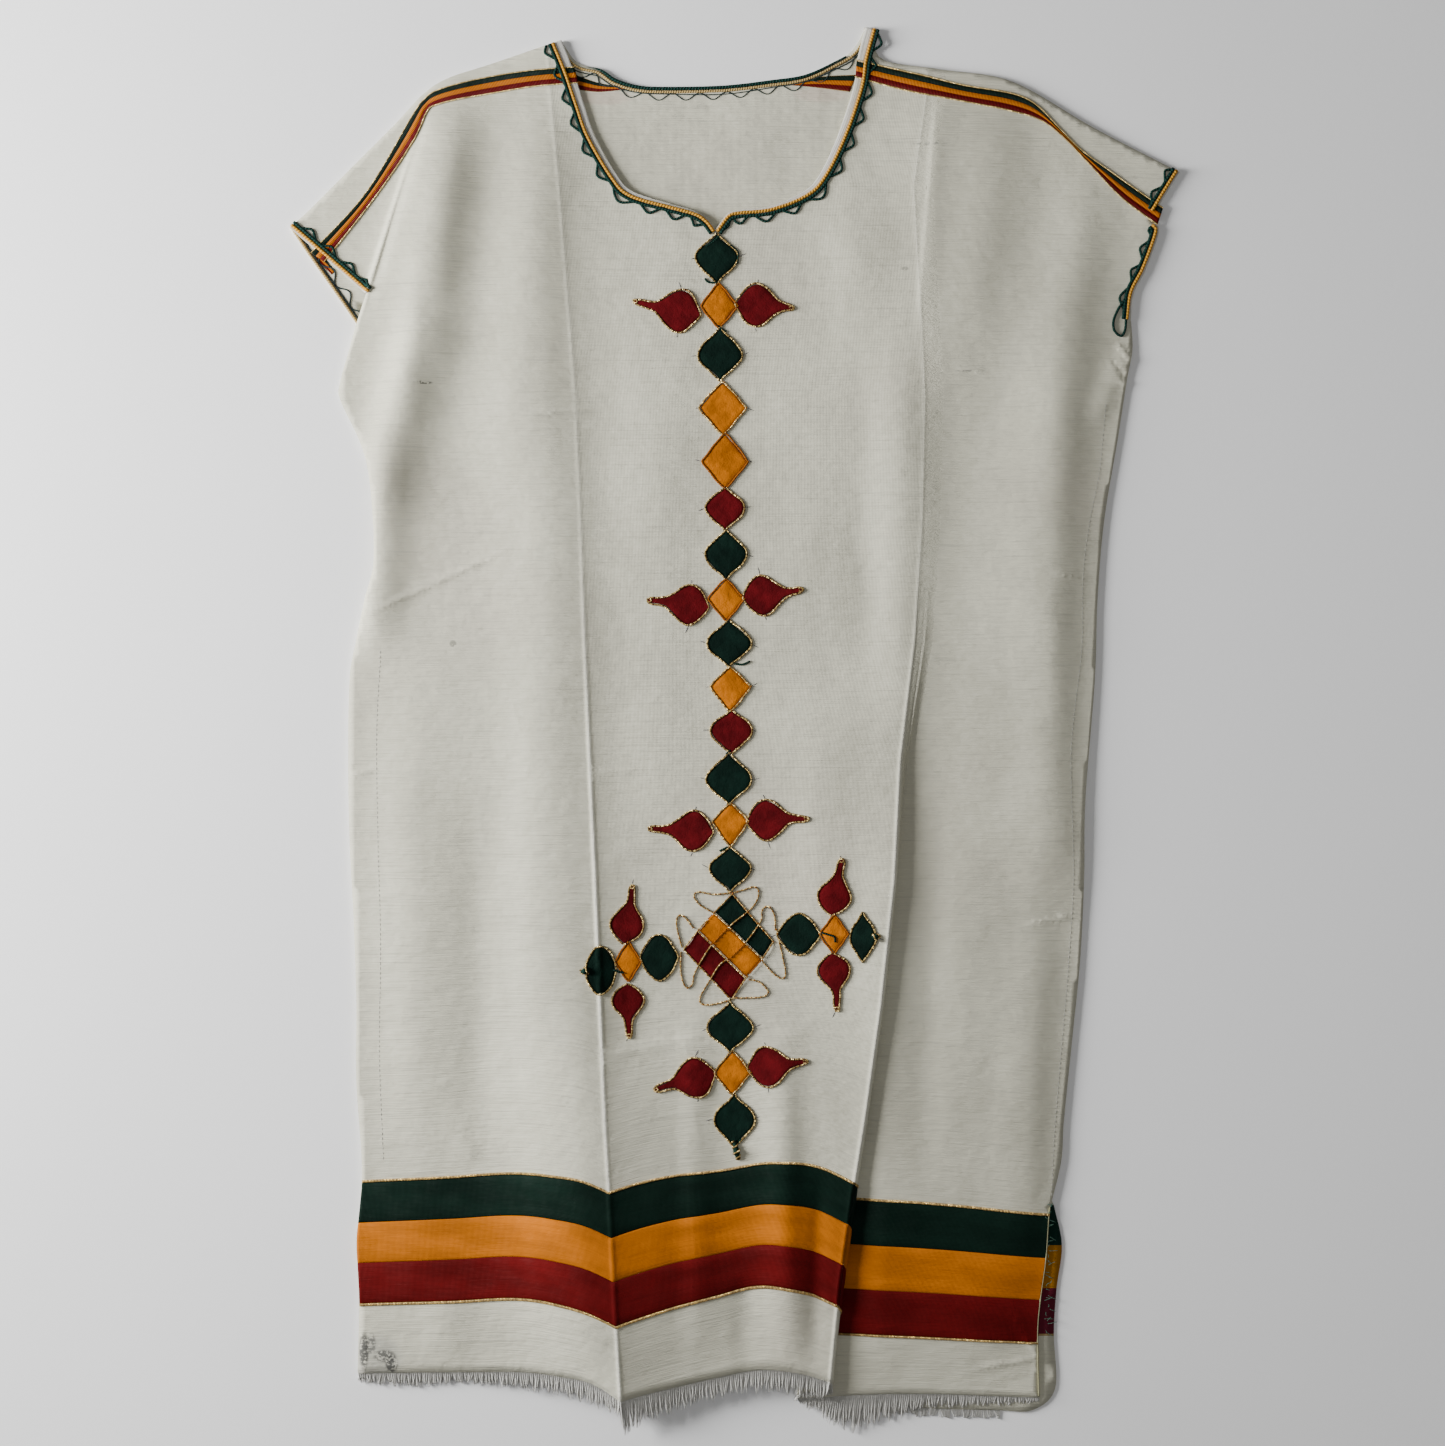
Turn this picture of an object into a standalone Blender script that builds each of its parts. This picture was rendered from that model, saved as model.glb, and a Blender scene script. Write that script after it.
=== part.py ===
"""A habesha kemis laid flat on its back: a wide cotton dress with short kimono sleeves, tricolour
bands above a frayed hem, tapes along the shoulders and a cross of applied patches.

X runs across the dress, Y up towards the neck and Z away from the surface that it lies on.
The tables are in millimetres, the meshes in metres.
"""

import math

import bpy
import numpy as np
from mathutils import Vector
from mathutils.geometry import delaunay_2d_cdt

# Driving dimensions, in millimetres
MM = 0.001
WALL = 1.2
GAP = 0.3
RIBBON = 0.6
PATCH = 0.8
HALF = WALL / 2
SEAM_SIDE = GAP / 2
BACK_MIDDLE = HALF
FRONT_MIDDLE = WALL + GAP + HALF
CENTRE_SHIFT = (-1.0, -1.4)

# Least pull of a sharp corner when a piece's rim is drawn in
SHARPEST = 0.45

# Levels are measured along the cloth: the hem's edge and the edges of the three bands
HEM = -478.0
BAND_LEVELS = (-336.0, -366.0, -396.0, -426.0)
TRIM_WIDTH = 7.0

# How far the rings of the neck's and cuffs' trims reach past the cloth's edge
NECK_REACH = 4.0
CUFF_REACH = 6.0

# The pleat on the right: a turn under, a hidden stretch and a turn back
RIDGE_TURN = 1.6
VALLEY_TURN = 2.4
UNDERLAP = 22.0
PLEAT_STARTS = 180.0
PLEAT_SHUTS = -150.0
UNDERLAP_STARTS = -110.0
PLEAT_ZONE = 14.0
TURN_SHARE = 0.4
TENT_WIDTH = 75.0
CREASE_LEFT_WIDTH = 38.0
CREASE_RIGHT_WIDTH = 78.0

# Chart coordinates: one unit from guide line to guide line is drawn this wide
CHART = 200.0
CLEAR_OF_EDGES = 7.0
CHART_ROUNDS = 8
HEM_MARGIN = 4.0

# Stations of the columns: whole numbers are the guide lines, and they crowd at the folds
COLUMNS = np.concatenate((
    (-0.34, -0.2, -0.08, 0.06, 0.2, 0.34, 0.48, 0.62, 0.75, 0.85, 0.93),
    (1.0, 1.06, 1.14, 1.24, 1.36, 1.5, 1.62, 1.74, 1.84, 1.92, 1.97),
    np.linspace(2.0, 2.0 + TURN_SHARE, 6),
    np.linspace(3.0 - TURN_SHARE, 3.0, 6),
    (3.05, 3.14, 3.28, 3.44, 3.6, 3.76, 3.9, 4.05, 4.2, 4.35),
))

# level, left side, left crease, right ridge, right side, height of the left crease
GUIDES = np.array((
    (-520, -279, -82, 71, 228, 13.0),
    (-478, -279, -83, 72, 228, 13.0),
    (-411, -279, -87, 79, 230, 11.5),
    (-340, -279, -91, 89, 238, 9.0),
    (-290, -279, -94, 97, 246, 7.2),
    (-204, -279, -98, 109, 255, 5.0),
    (-111, -279, -102, 119, 261, 3.4),
    (-22, -279, -106, 124, 264, 2.5),
    (68, -279, -110, 135, 271, 2.0),
    (157, -279, -113, 140, 276, 1.8),
    (248, -279, -117, 142, 290, 1.6),
    (313, -279, -122, 139, 298, 1.5),
    (404, -279, -129, 134, 299, 1.4),
    (476, -279, -136, 144, 300, 1.2),
    (540, -279, -140, 148, 300, 1.0),
), dtype=float)

# station across the dress, rise of the cloth at the bands' top, at their foot, at the hem
ARCHES = (
    np.array((
        (0.00, 0.0, 0.0, 0.0),
        (0.36, 4.0, 3.0, 1.0),
        (0.76, 7.5, 4.5, 0.0),
        (0.90, 4.0, -2.0, -5.0),
        (1.00, -4.0, -11.0, -16.5),
    )),
    np.array((
        (1.00, -4.0, -11.0, -16.5),
        (1.12, 2.0, -5.0, -12.0),
        (1.27, 7.0, 2.0, -7.0),
        (1.45, 10.0, 9.0, -1.0),
        (1.70, 16.5, 16.5, 5.0),
        (1.87, 12.0, 11.0, 2.0),
        (2.00, 1.0, 2.0, -4.0),
    )),
    np.array((
        (2.00, 1.0, 2.0, -4.0),
        (3.00, -11.0, -20.0, -18.0),
    )),
    np.array((
        (3.00, -11.0, -20.0, -18.0),
        (3.35, -13.5, -22.0, -15.0),
        (4.00, -25.0, -29.0, -18.0),
    )),
)
ARCH_FADE = 260.0

# from x, y to x, y, height, width on the left of the line, width on its right
SOFT_FOLDS = (
    (-232, 446, -285, 283, 5.0, 2.6, 34),
    (-207, 440, -252, 210, 3.2, 17, 20),
    (-140, 452, -174, 165, 2.6, 26, 26),
    (199, 462, 169, 225, 2.2, 22, 22),
    (263, 410, 236, 180, 2.0, 20, 20),
    (292, 284, 268, 228, 1.8, 8, 8),
    (-211, 80, -219, -320, 1.6, 34, 34),
    (188, 150, 173, -330, 2.0, 30, 30),
    (-48, 360, -60, 140, 1.4, 30, 30),
    (60, 330, 62, 60, 1.4, 34, 34),
)

# Outlines on the laid dress, x and y of the points that their shape needs
SHOULDER_LEFT = ((-128, 514), (-178, 497), (-211, 486), (-230, 474), (-251, 452), (-284, 419), (-317, 386),
                 (-330, 375))
CUFF_LEFT = ((-330, 375), (-301, 350), (-272, 325))
CUFF_LEFT_BACK = ((-330, 375), (-316, 354), (-297, 327), (-279, 301))
SIDE_LEFT = ((-272, 325), (-282, 295), (-292, 260), (-292, 247), (-278, 217), (-269, 187), (-266, 128),
             (-273, 98), (-280, 68), (-285, 38), (-286, -22), (-285, -81), (-282, -141), (-280, -201),
             (-280, -260), (-276, -320), (-277, -350), (-280, -380), (-278, -424), (-279, -478))
SLIT_FRONT = ((228, -495), (227, -449), (229, -423), (233, -393), (235, -363), (236, -354))
SLIT_BACK = ((199, -506), (223, -506), (240, -490), (239, -449), (241, -416), (245, -383), (239, -353))
SIDE_RIGHT = ((236, -354), (244, -320), (246, -290), (252, -231), (258, -171), (261, -111), (262, -51),
              (269, 38), (271, 98), (276, 157), (286, 217), (293, 262), (297, 284), (296, 305))
CUFF_RIGHT = ((296, 305), (298, 326), (307, 344), (316, 372), (311, 380), (313, 385), (322, 400), (332, 416))
SHOULDER_RIGHT = ((332, 416), (270, 448), (208, 483), (154, 492), (113, 499), (104, 512), (99, 524))
NECK_RIGHT = ((99, 524), (93, 500), (90, 479), (78, 442), (65, 414), (53, 401), (28, 390), (5, 387), (-4, 384),
              (-13, 372))
NECK_LEFT = ((-13, 372), (-19, 380), (-28, 386), (-48, 392), (-75, 401), (-87, 414), (-103, 443), (-111, 466),
             (-119, 491), (-128, 514))
NECK_BACK = ((-128, 514), (-116, 498), (-99, 493), (-87, 485), (-70, 480), (-48, 479), (-7, 480), (28, 484),
             (53, 488), (75, 498), (89, 507), (99, 524))
HEM_BACK = ((-278, -462), (-99, -468), (35, -474), (87, -497), (140, -504), (199, -506))
TAPE_LEFT = (
    ((-106, 495), (-154, 491), (-190, 485), (-221, 476), (-230, 469), (-237, 460), (-273, 401), (-314, 356)),
    ((-104, 482), (-154, 478), (-199, 470), (-225, 463), (-228, 458), (-237, 438), (-266, 397), (-304, 349)),
)
TAPE_RIGHT = (
    ((86, 499), (134, 489), (170, 480), (207, 474), (225, 466), (242, 449), (260, 431), (288, 411), (322, 390)),
    ((84, 487), (134, 475), (170, 468), (207, 461), (230, 454), (248, 440), (263, 424), (288, 398), (318, 376)),
)

# name, colour, x, top, sides' level, foot, width, hollow of the flanks
COLUMN = (
    ("01", "green", -12, 367.5, 352, 333.5, 31, 1.5),
    ("02", "yellow", -10.5, 330.5, 315.5, 301.5, 26, 1.0),
    ("03", "green", -9.5, 298.5, 279, 262, 32, 1.5),
    ("04", "yellow", -7.5, 257, 240, 222, 34, 1.1),
    ("05", "yellow", -6, 218.5, 200, 182, 33.5, 1.0),
    ("06", "red", -6, 179, 166, 151.5, 28, 1.2),
    ("07", "green", -5, 148, 131, 114.5, 30, 1.4),
    ("08", "yellow", -5, 110.5, 98, 84, 26, 1.0),
    ("09", "green", -3, 81, 65, 49.5, 32, 1.4),
    ("10", "yellow", -2, 45.5, 33, 17, 29.5, 1.0),
    ("11", "red", -1, 13.5, 1, -15, 30, 1.2),
    ("12", "green", -3, -18, -36, -53, 33, 1.5),
    ("13", "yellow", -2, -55.5, -67, -83.5, 25.5, 1.0),
    ("14", "green", -2, -87, -102, -117, 30, 1.5),
    ("15", "green", -2, -202.5, -220, -236, 33, 1.5),
    ("16", "yellow", -0.5, -239.5, -253, -267, 26.5, 1.0),
    ("17", "green", 1, -270.5, -287, -307, 29.5, 1.5),
)

# name, x and y of the round part, x and y of the tail's root, width of the round part
DROPS = (
    ("02_left", -42, 312, -58, 315, 31),
    ("02_right", 20, 316, 36, 315, 31),
    ("08_left", -34.5, 94, -50, 96, 29),
    ("08_right", 24, 101, 39, 103, 29),
    ("13_left", -31.5, -74, -47.5, -73, 29),
    ("13_right", 27, -66, 42.5, -65, 29),
    ("16_left", -29.5, -257, -45, -261, 29),
    ("16_right", 27.5, -248, 43, -246, 29),
    ("cross_left_up", -78.5, -143.5, -76, -127, 24),
    ("cross_left_down", -78, -200.5, -77.5, -214, 23),
    ("cross_right_up", 75, -122.5, 78, -106.5, 24),
    ("cross_right_down", 75, -177.5, 76.5, -192.5, 23),
)

# name, colour, x, y, width, height, hollow of the flanks
CROSS_PARTS = (
    ("cross_left_heart", "yellow", -77.5, -171, 18, 25, 1.0),
    ("cross_left_inner", "green", -54, -168.5, 23, 34, 1.3),
    ("cross_left_outer", "green", -98, -177, 20, 36, 1.3),
    ("cross_right_heart", "yellow", 75, -150, 20, 24, 1.0),
    ("cross_right_inner", "green", 48.5, -151, 30, 30, 1.5),
    ("cross_right_outer", "green", 96, -152.5, 18, 33, 1.3),
)

# name, colour, the four corners of each stripe of the large diamond
STRIPES = (
    ("diamond_green", "green", ((-13.4, -134.3), (-0.7, -121.5), (29.1, -155.9), (21.6, -168.0))),
    ("diamond_yellow", "yellow", ((-25.4, -147.7), (-14.2, -135.4), (20.9, -169.0), (9.7, -182.4))),
    ("diamond_red", "red", ((-35.8, -162.0), (-26.3, -148.6), (9.0, -183.5), (-1.5, -198.6))),
)

# station across the dress, length of the frayed threads
FRAY_FRONT = np.array((
    (0.00, 9), (0.20, 13), (0.40, 10), (0.60, 15), (0.75, 17), (0.92, 20), (0.98, 13), (1.02, 29), (1.10, 23),
    (1.35, 19), (1.55, 17), (1.75, 19), (2.00, 18), (3.00, 20), (3.08, 26), (3.25, 17), (3.50, 14), (4.00, 6),
), dtype=float)
STRAND_PITCH = 11.0
STRAND_ROOM = 5.0
BACK_FRAY = 8.0
HEM_STEP = 44.0
STRIP_DEPTH = 2.0
STRIP_HALF = 0.4
STRAND_SWAY = 1.6
STRAND_LOW = 1.9
STRAND_LOW_BACK = 0.6
STRAND_DROP = 1.0
PROBE = 0.002

# share of a strand's length, its thickness there as a share of the root's
STRAND_RINGS = ((0.5, 0.55), (1.0, 0.35))

# share of the way from a drop's near tip to its tail, half width there as a share of its width
DROP_SHAPE = ((0.0, 0.0), (0.14, 0.27), (0.32, 0.46), (0.5, 0.5), (0.66, 0.42), (0.82, 0.22), (1.0, 0.05))
DROP_TIP = 0.47

# What is laid on the front: region of the chart, name of the piece, colour
LAID_ON = (
    ("band_green", "hem_band_green", "green"),
    ("band_yellow", "hem_band_yellow", "yellow"),
    ("band_red", "hem_band_red", "red"),
    ("neck", "neck_trim", "trim"),
    ("cuff_left", "cuff_trim_left", "trim"),
    ("cuff_right", "cuff_trim_right", "trim"),
    ("tape_left", "shoulder_tape_left", "yellow"),
    ("tape_right", "shoulder_tape_right", "yellow"),
)

# Steps between an outline's points, and between the rows of the front
STEP_SIDE = 26
STEP_CUFF_LEFT = 14
STEP_CUFF_RIGHT = 8
STEP_NECK = 9
STEP_SLIT = 24
STEP_TAPE = 18
ROW_STEP = 29.0
ROWS_END = 520.0
ROW_OVER_HEM = -452.0
BACK_STEPS = (40, 16, 28, 12, 28, 9, 40, 12)
MERGE = 0.05

# Where a soft fold rises and fades along its line, in shares of the line
FOLD_RISES = (-0.12, 0.25)
FOLD_FADES = (0.7, 1.12)

COLOURS = {
    "cotton": (0.62, 0.60, 0.54),
    "green": (0.004, 0.022, 0.014),
    "yellow": (0.58, 0.22, 0.004),
    "red": (0.14, 0.001, 0.005),
    "trim": (0.45, 0.28, 0.05),
}
ROUGHNESS = {"cotton": 0.9, "green": 0.85, "yellow": 0.85, "red": 0.85, "trim": 0.8}


def clear_scene():
    """Remove every object that the scene holds."""
    for old in list(bpy.data.objects):
        bpy.data.objects.remove(old, do_unlink=True)


def material(name):
    """Give the material of one colour, made on its first use."""
    found = bpy.data.materials.get(name)
    if found:
        return found
    made = bpy.data.materials.new(name)
    made.use_nodes = True
    shader = made.node_tree.nodes["Principled BSDF"]
    shader.inputs["Base Color"].default_value = (*COLOURS[name], 1.0)
    shader.inputs["Roughness"].default_value = ROUGHNESS[name]
    shader.inputs["Metallic"].default_value = 0.0
    return made


def add_object(name, colour, points, faces):
    """Put a closed mesh, whose points are in millimetres, into the scene."""
    place = np.asarray(points, dtype=float) + np.array((*CENTRE_SHIFT, 0.0))
    mesh = bpy.data.meshes.new(name)
    mesh.from_pydata((place * MM).tolist(), [], [tuple(face) for face in faces])
    mesh.materials.append(material(colour))
    mesh.update()
    made = bpy.data.objects.new(name, mesh)
    bpy.context.scene.collection.objects.link(made)
    return made


def smooth_step(low, high, value):
    """Rise from 0 at low to 1 at high with level ends."""
    t = np.clip((value - low) / (high - low), 0.0, 1.0)
    return t * t * (3.0 - 2.0 * t)


def guide(column, level):
    """Read one column of the guides at a level of the cloth."""
    return np.interp(level, GUIDES[:, 0], GUIDES[:, column])


def eased(table, column, station):
    """Join a table's rows with a smooth cubic through them."""
    x = table[:, 0]
    y = table[:, column]
    slope = np.gradient(y, x)
    i = np.clip(np.searchsorted(x, station) - 1, 0, len(x) - 2)
    step = x[i + 1] - x[i]
    t = np.clip((station - x[i]) / step, 0.0, 1.0)
    start = (2 * t**3 - 3 * t**2 + 1) * y[i] + (t**3 - 2 * t**2 + t) * step * slope[i]
    end = (3 * t**2 - 2 * t**3) * y[i + 1] + (t**3 - t**2) * step * slope[i + 1]
    return start + end


def arch(station, level):
    """Rise of the cloth's thread line at a station, fading above the bands."""
    rises = []
    for column in (1, 2, 3):
        rise = np.zeros_like(station)
        for table in ARCHES:
            inside = (station >= table[0, 0]) & (station <= table[-1, 0] + 1e-9)
            rise = np.where(inside, eased(table, column, station), rise)
        beyond = station > ARCHES[-1][-1, 0]
        rise = np.where(beyond, ARCHES[-1][-1, column], rise)
        rises.append(rise)
    top, foot, hem = rises
    down_band = np.clip((BAND_LEVELS[0] - level) / (BAND_LEVELS[0] - BAND_LEVELS[-1]), 0.0, 1.0)
    down_hem = np.clip((BAND_LEVELS[-1] - level) / (BAND_LEVELS[-1] - HEM), 0.0, 1.0)
    fade = 1.0 - smooth_step(BAND_LEVELS[0], BAND_LEVELS[0] + ARCH_FADE, level)
    return ((top + (foot - top) * down_band) + (hem - foot) * down_hem) * fade


def pleat(level):
    """Turn, hidden width, open width, drop and sideways run of the pleat at a level."""
    down = -level
    shut = smooth_step(-PLEAT_STARTS, -PLEAT_SHUTS, down)
    turn = math.pi * shut
    hidden = UNDERLAP * smooth_step(-UNDERLAP_STARTS, -BAND_LEVELS[0], down)
    open_width = PLEAT_ZONE * (1.0 - shut)
    both = RIDGE_TURN + VALLEY_TURN
    drop = both * (1.0 - np.cos(turn)) + hidden * np.sin(turn)
    run = both * np.sin(turn) + hidden * np.cos(turn) + open_width
    return turn, hidden, open_width, drop, run


def soft_folds(x, y):
    """Height of the soft folds that lie across the panels."""
    height = np.zeros_like(x)
    for x0, y0, x1, y1, rise, left_width, right_width in SOFT_FOLDS:
        length = math.hypot(x1 - x0, y1 - y0)
        along_x, along_y = (x1 - x0) / length, (y1 - y0) / length
        along = ((x - x0) * along_x + (y - y0) * along_y) / length
        across = (y - y0) * along_x - (x - x0) * along_y
        width = np.where(across > 0, right_width, left_width)
        ends = smooth_step(*FOLD_RISES, along) * (1.0 - smooth_step(*FOLD_FADES, along))
        height = height + rise * ends * np.exp(-(across / width) ** 2)
    return height


def lay_front(station, level):
    """Middle of the front's wall for chart stations and levels, as rows of x, y and z."""
    station = np.asarray(station, dtype=float)
    level = np.asarray(level, dtype=float)
    left, crease, ridge, right, rise = (guide(column, level) for column in (1, 2, 3, 4, 5))
    turn, hidden, open_width, drop, run = pleat(level)
    y = level + arch(station, level)

    across_left = left + (crease - left) * station
    across_centre = crease + (ridge - crease) * (station - 1.0)
    k = np.clip(station - 2.0, 0.0, 1.0)
    first = turn * np.clip(k / TURN_SHARE, 0.0, 1.0)
    flat = np.clip((k - TURN_SHARE) / (1.0 - 2.0 * TURN_SHARE), 0.0, 1.0)
    second = turn * (1.0 - np.clip((k - 1.0 + TURN_SHARE) / TURN_SHARE, 0.0, 1.0))
    past = k > 1.0 - TURN_SHARE
    sideways = RIDGE_TURN * np.sin(first) + hidden * flat * np.cos(turn) + open_width * k
    sideways = sideways + np.where(past, VALLEY_TURN * (np.sin(turn) - np.sin(second)), 0.0)
    fallen = RIDGE_TURN * (1.0 - np.cos(first)) + hidden * flat * np.sin(turn)
    fallen = fallen + np.where(past, VALLEY_TURN * (np.cos(second) - np.cos(turn)), 0.0)
    across_right = ridge + run + (right - ridge - run) * (station - 3.0)

    x = np.where(station < 1.0, across_left, across_centre)
    x = np.where(station > 2.0, ridge + sideways, x)
    x = np.where(station > 3.0, across_right, x)

    from_ridge = np.clip(ridge - x, 0.0, None)
    tent = drop / (1.0 + (from_ridge / TENT_WIDTH) ** 2)
    tent = np.where(station > 2.0, drop - fallen, tent)
    from_crease = x - crease
    flank = np.where(from_crease < 0, CREASE_LEFT_WIDTH, CREASE_RIGHT_WIDTH)
    pressed = rise * np.exp(-np.abs(from_crease) / flank)
    z = FRONT_MIDDLE + tent + pressed + soft_folds(x, y)
    return np.stack((x, y, z), axis=-1)


def chart(points):
    """Chart coordinates of points that are given by their place on the laid front."""
    place = np.asarray(points, dtype=float)
    x, y = place[:, 0], place[:, 1]
    level = y.copy()
    station = np.zeros_like(x)
    for _ in range(CHART_ROUNDS):
        left, crease, ridge, right = (guide(column, level) for column in (1, 2, 3, 4))
        _, _, open_width, _, run = pleat(level)
        station = np.where(x < crease, (x - left) / (crease - left), 1.0 + (x - crease) / (ridge - crease))
        in_zone = 2.0 + (x - ridge) / np.maximum(open_width, 1e-6)
        beyond = 3.0 + (x - ridge - run) / (right - ridge - run)
        past = np.where(x < ridge + np.minimum(open_width, run), in_zone, beyond)
        station = np.where(x > ridge, past, station)
        level = y - arch(station, level)
    return np.stack((station * CHART, level), axis=-1)


def curve(points, step):
    """Points about a step apart on the smooth line through the given ones."""
    p = np.asarray(points, dtype=float)
    ends = np.vstack((2 * p[0] - p[1], p, 2 * p[-1] - p[-2]))
    line = [p[0]]
    for i in range(1, len(ends) - 2):
        a, b, c, d = ends[i - 1], ends[i], ends[i + 1], ends[i + 2]
        count = max(1, int(round(np.linalg.norm(c - b) / step)))
        for k in range(1, count + 1):
            t = k / count
            cubic = (3 * b - a - 3 * c + d) * t**3
            line.append(0.5 * (2 * b + (c - a) * t + (2 * a - 5 * b + 4 * c - d) * t**2 + cubic))
    return np.array(line)


def beside(line, distance):
    """The line moved sideways, to its right as it runs."""
    tangent = np.gradient(line, axis=0)
    tangent /= np.linalg.norm(tangent, axis=1)[:, None]
    return line + distance * np.stack((tangent[:, 1], -tangent[:, 0]), axis=-1)


def patch_outline(x, top, side, foot, width, hollow):
    """Diamond with round sides whose flanks grow hollow towards the tips."""
    steps = np.linspace(0.0, 1.0, 4)[1:-1]
    half = width / 2 * np.cos(steps * math.pi / 2) ** hollow
    if hollow <= 1.1:
        half = width / 2 * (1.0 - steps) ** 0.9
    up = side + (top - side) * steps
    down = side + (foot - side) * steps
    right_side = [(x + width / 2, side)] + [(x + h, y) for h, y in zip(half, up)] + [(x, top)]
    left_up = [(x - h, y) for h, y in zip(half[::-1], up[::-1])] + [(x - width / 2, side)]
    left_down = [(x - h, y) for h, y in zip(half, down)] + [(x, foot)]
    right_down = [(x + h, y) for h, y in zip(half[::-1], down[::-1])]
    return np.array(right_side + left_up + left_down + right_down)


def drop_outline(x, y, tail_x, tail_y, width):
    """Round patch with a tip on its near side and one drawn out towards its tail."""
    reach = math.hypot(tail_x - x, tail_y - y)
    ahead = np.array((tail_x - x, tail_y - y)) / reach
    aside = np.array((-ahead[1], ahead[0]))
    near = -DROP_TIP * width
    upper = [ahead * (near + (reach - near) * t) + aside * half * width for t, half in DROP_SHAPE]
    lower = [ahead * (near + (reach - near) * t) - aside * half * width for t, half in DROP_SHAPE[1:]]
    return np.array([(x, y) + p for p in upper[::-1]] + [(x, y) + p for p in lower])


def patch_list():
    """Name, colour and outline on the laid front of every applied patch."""
    patches = [(f"patch_{row[0]}", row[1], patch_outline(*row[2:])) for row in COLUMN]
    patches += [(f"patch_{row[0]}", "red", drop_outline(*row[1:])) for row in DROPS]
    for name, colour, x, y, width, height, hollow in CROSS_PARTS:
        outline = patch_outline(x, y + height / 2, y, y - height / 2, width, hollow)
        patches.append((f"patch_{name}", colour, outline))
    patches += [(f"patch_{name}", colour, np.array(corners)) for name, colour, corners in STRIPES]
    return patches


def front_outline():
    """Edge of the front on the chart, from the left of the hem round to its right."""
    runs = (SIDE_LEFT[::-1], CUFF_LEFT[::-1], SHOULDER_LEFT[::-1], NECK_LEFT[::-1], NECK_RIGHT[::-1],
            SHOULDER_RIGHT[::-1], CUFF_RIGHT[::-1], SIDE_RIGHT[::-1], SLIT_FRONT[::-1])
    steps = (STEP_SIDE, STEP_CUFF_LEFT, STEP_SIDE, STEP_NECK, STEP_NECK, STEP_SIDE, STEP_CUFF_RIGHT, STEP_SIDE,
             STEP_SLIT)
    line = []
    for run, step in zip(runs, steps):
        line.extend(curve(run, step)[:-1])
    line.append(np.array(SLIT_FRONT[0], dtype=float))
    drawn = chart(line)
    drawn[0, 1] = HEM
    drawn[-1, 1] = HEM
    return drawn


def band(line, width):
    """Ring from a line to the same line moved inwards, wide enough to pass the edge outside."""
    outer = beside(line, -CUFF_REACH)
    inner = beside(line, width)
    return chart(np.vstack((outer, inner[::-1])))


def neck_band():
    """Ring along the front's neckline, as wide as its trim."""
    left = curve(NECK_LEFT[::-1], STEP_NECK)
    right = curve(NECK_RIGHT[::-1], STEP_NECK)
    inner_left = beside(left, TRIM_WIDTH)
    inner_right = beside(right, TRIM_WIDTH)
    point_x, point_y = NECK_LEFT[0]
    foot = np.array(((point_x, point_y - TRIM_WIDTH * 1.5),))
    inner = np.vstack((inner_left[:-2], foot, inner_right[2:]))
    outer_left = beside(left, -NECK_REACH)[:-2]
    outer_right = beside(right, -NECK_REACH)[2:]
    outer = np.vstack((outer_left, np.array(((point_x, point_y + NECK_REACH * 1.5),)), outer_right))
    inner[0] = outer[0] + (inner[0] - outer[0]) * 1.5
    return chart(np.vstack((outer, inner[::-1])))


def regions():
    """Name and chart outline of every part of the front that carries something."""
    made = [("neck", neck_band())]
    made.append(("cuff_left", band(curve(CUFF_LEFT[::-1], STEP_CUFF_LEFT), TRIM_WIDTH)))
    made.append(("cuff_right", band(curve(CUFF_RIGHT[::-1], STEP_CUFF_RIGHT), TRIM_WIDTH)))
    for name, (upper, lower) in (("tape_left", TAPE_LEFT), ("tape_right", TAPE_RIGHT)):
        made.append((name, chart(np.vstack((curve(upper, STEP_TAPE), curve(lower[::-1], STEP_TAPE))))))
    far_left, far_right = -1.0 * CHART, 5.0 * CHART
    for name, high, low in zip(("band_green", "band_yellow", "band_red"), BAND_LEVELS[:-1], BAND_LEVELS[1:]):
        made.append((name, np.array(((far_left, low), (far_right, low), (far_right, high), (far_left, high)))))
    made += [(name, chart(outline)) for name, _, outline in patch_list()]
    return made


def ring_area(ring):
    """Area inside a closed outline, positive where it runs anticlockwise."""
    x, y = ring[:, 0], ring[:, 1]
    return 0.5 * float((x * np.roll(y, -1) - np.roll(x, -1) * y).sum())


def edge_distance(points, outline):
    """Distance of points from the nearest edge of a closed outline."""
    start = outline
    run = np.roll(outline, -1, axis=0) - start
    length = np.maximum((run**2).sum(axis=1), 1e-12)
    offset = points[:, None, :] - start[None, :, :]
    share = np.clip((offset * run[None]).sum(axis=2) / length[None], 0.0, 1.0)
    nearest = offset - share[..., None] * run[None]
    return np.sqrt((nearest**2).sum(axis=2)).min(axis=1)


def grid_points(outline, made):
    """Chart points inside the front: rows along the cloth, columns that crowd at the folds."""
    lower = (HEM, ROW_OVER_HEM, *BAND_LEVELS[::-1])
    upper = np.arange(BAND_LEVELS[0] + ROW_STEP, ROWS_END, ROW_STEP)
    levels = np.concatenate((lower, upper))
    grid = np.array([(s * CHART, level) for level in levels for s in COLUMNS])
    keep = edge_distance(grid, outline) > CLEAR_OF_EDGES
    between = (grid[:, 0] > outline[0, 0] + HEM_MARGIN) & (grid[:, 0] < outline[-1, 0] - HEM_MARGIN)
    keep |= (grid[:, 1] == HEM) & between
    for name, ring in made:
        if not name.startswith("band_"):
            keep &= edge_distance(grid, ring) > CLEAR_OF_EDGES * 0.7
    return grid[keep]


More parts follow.
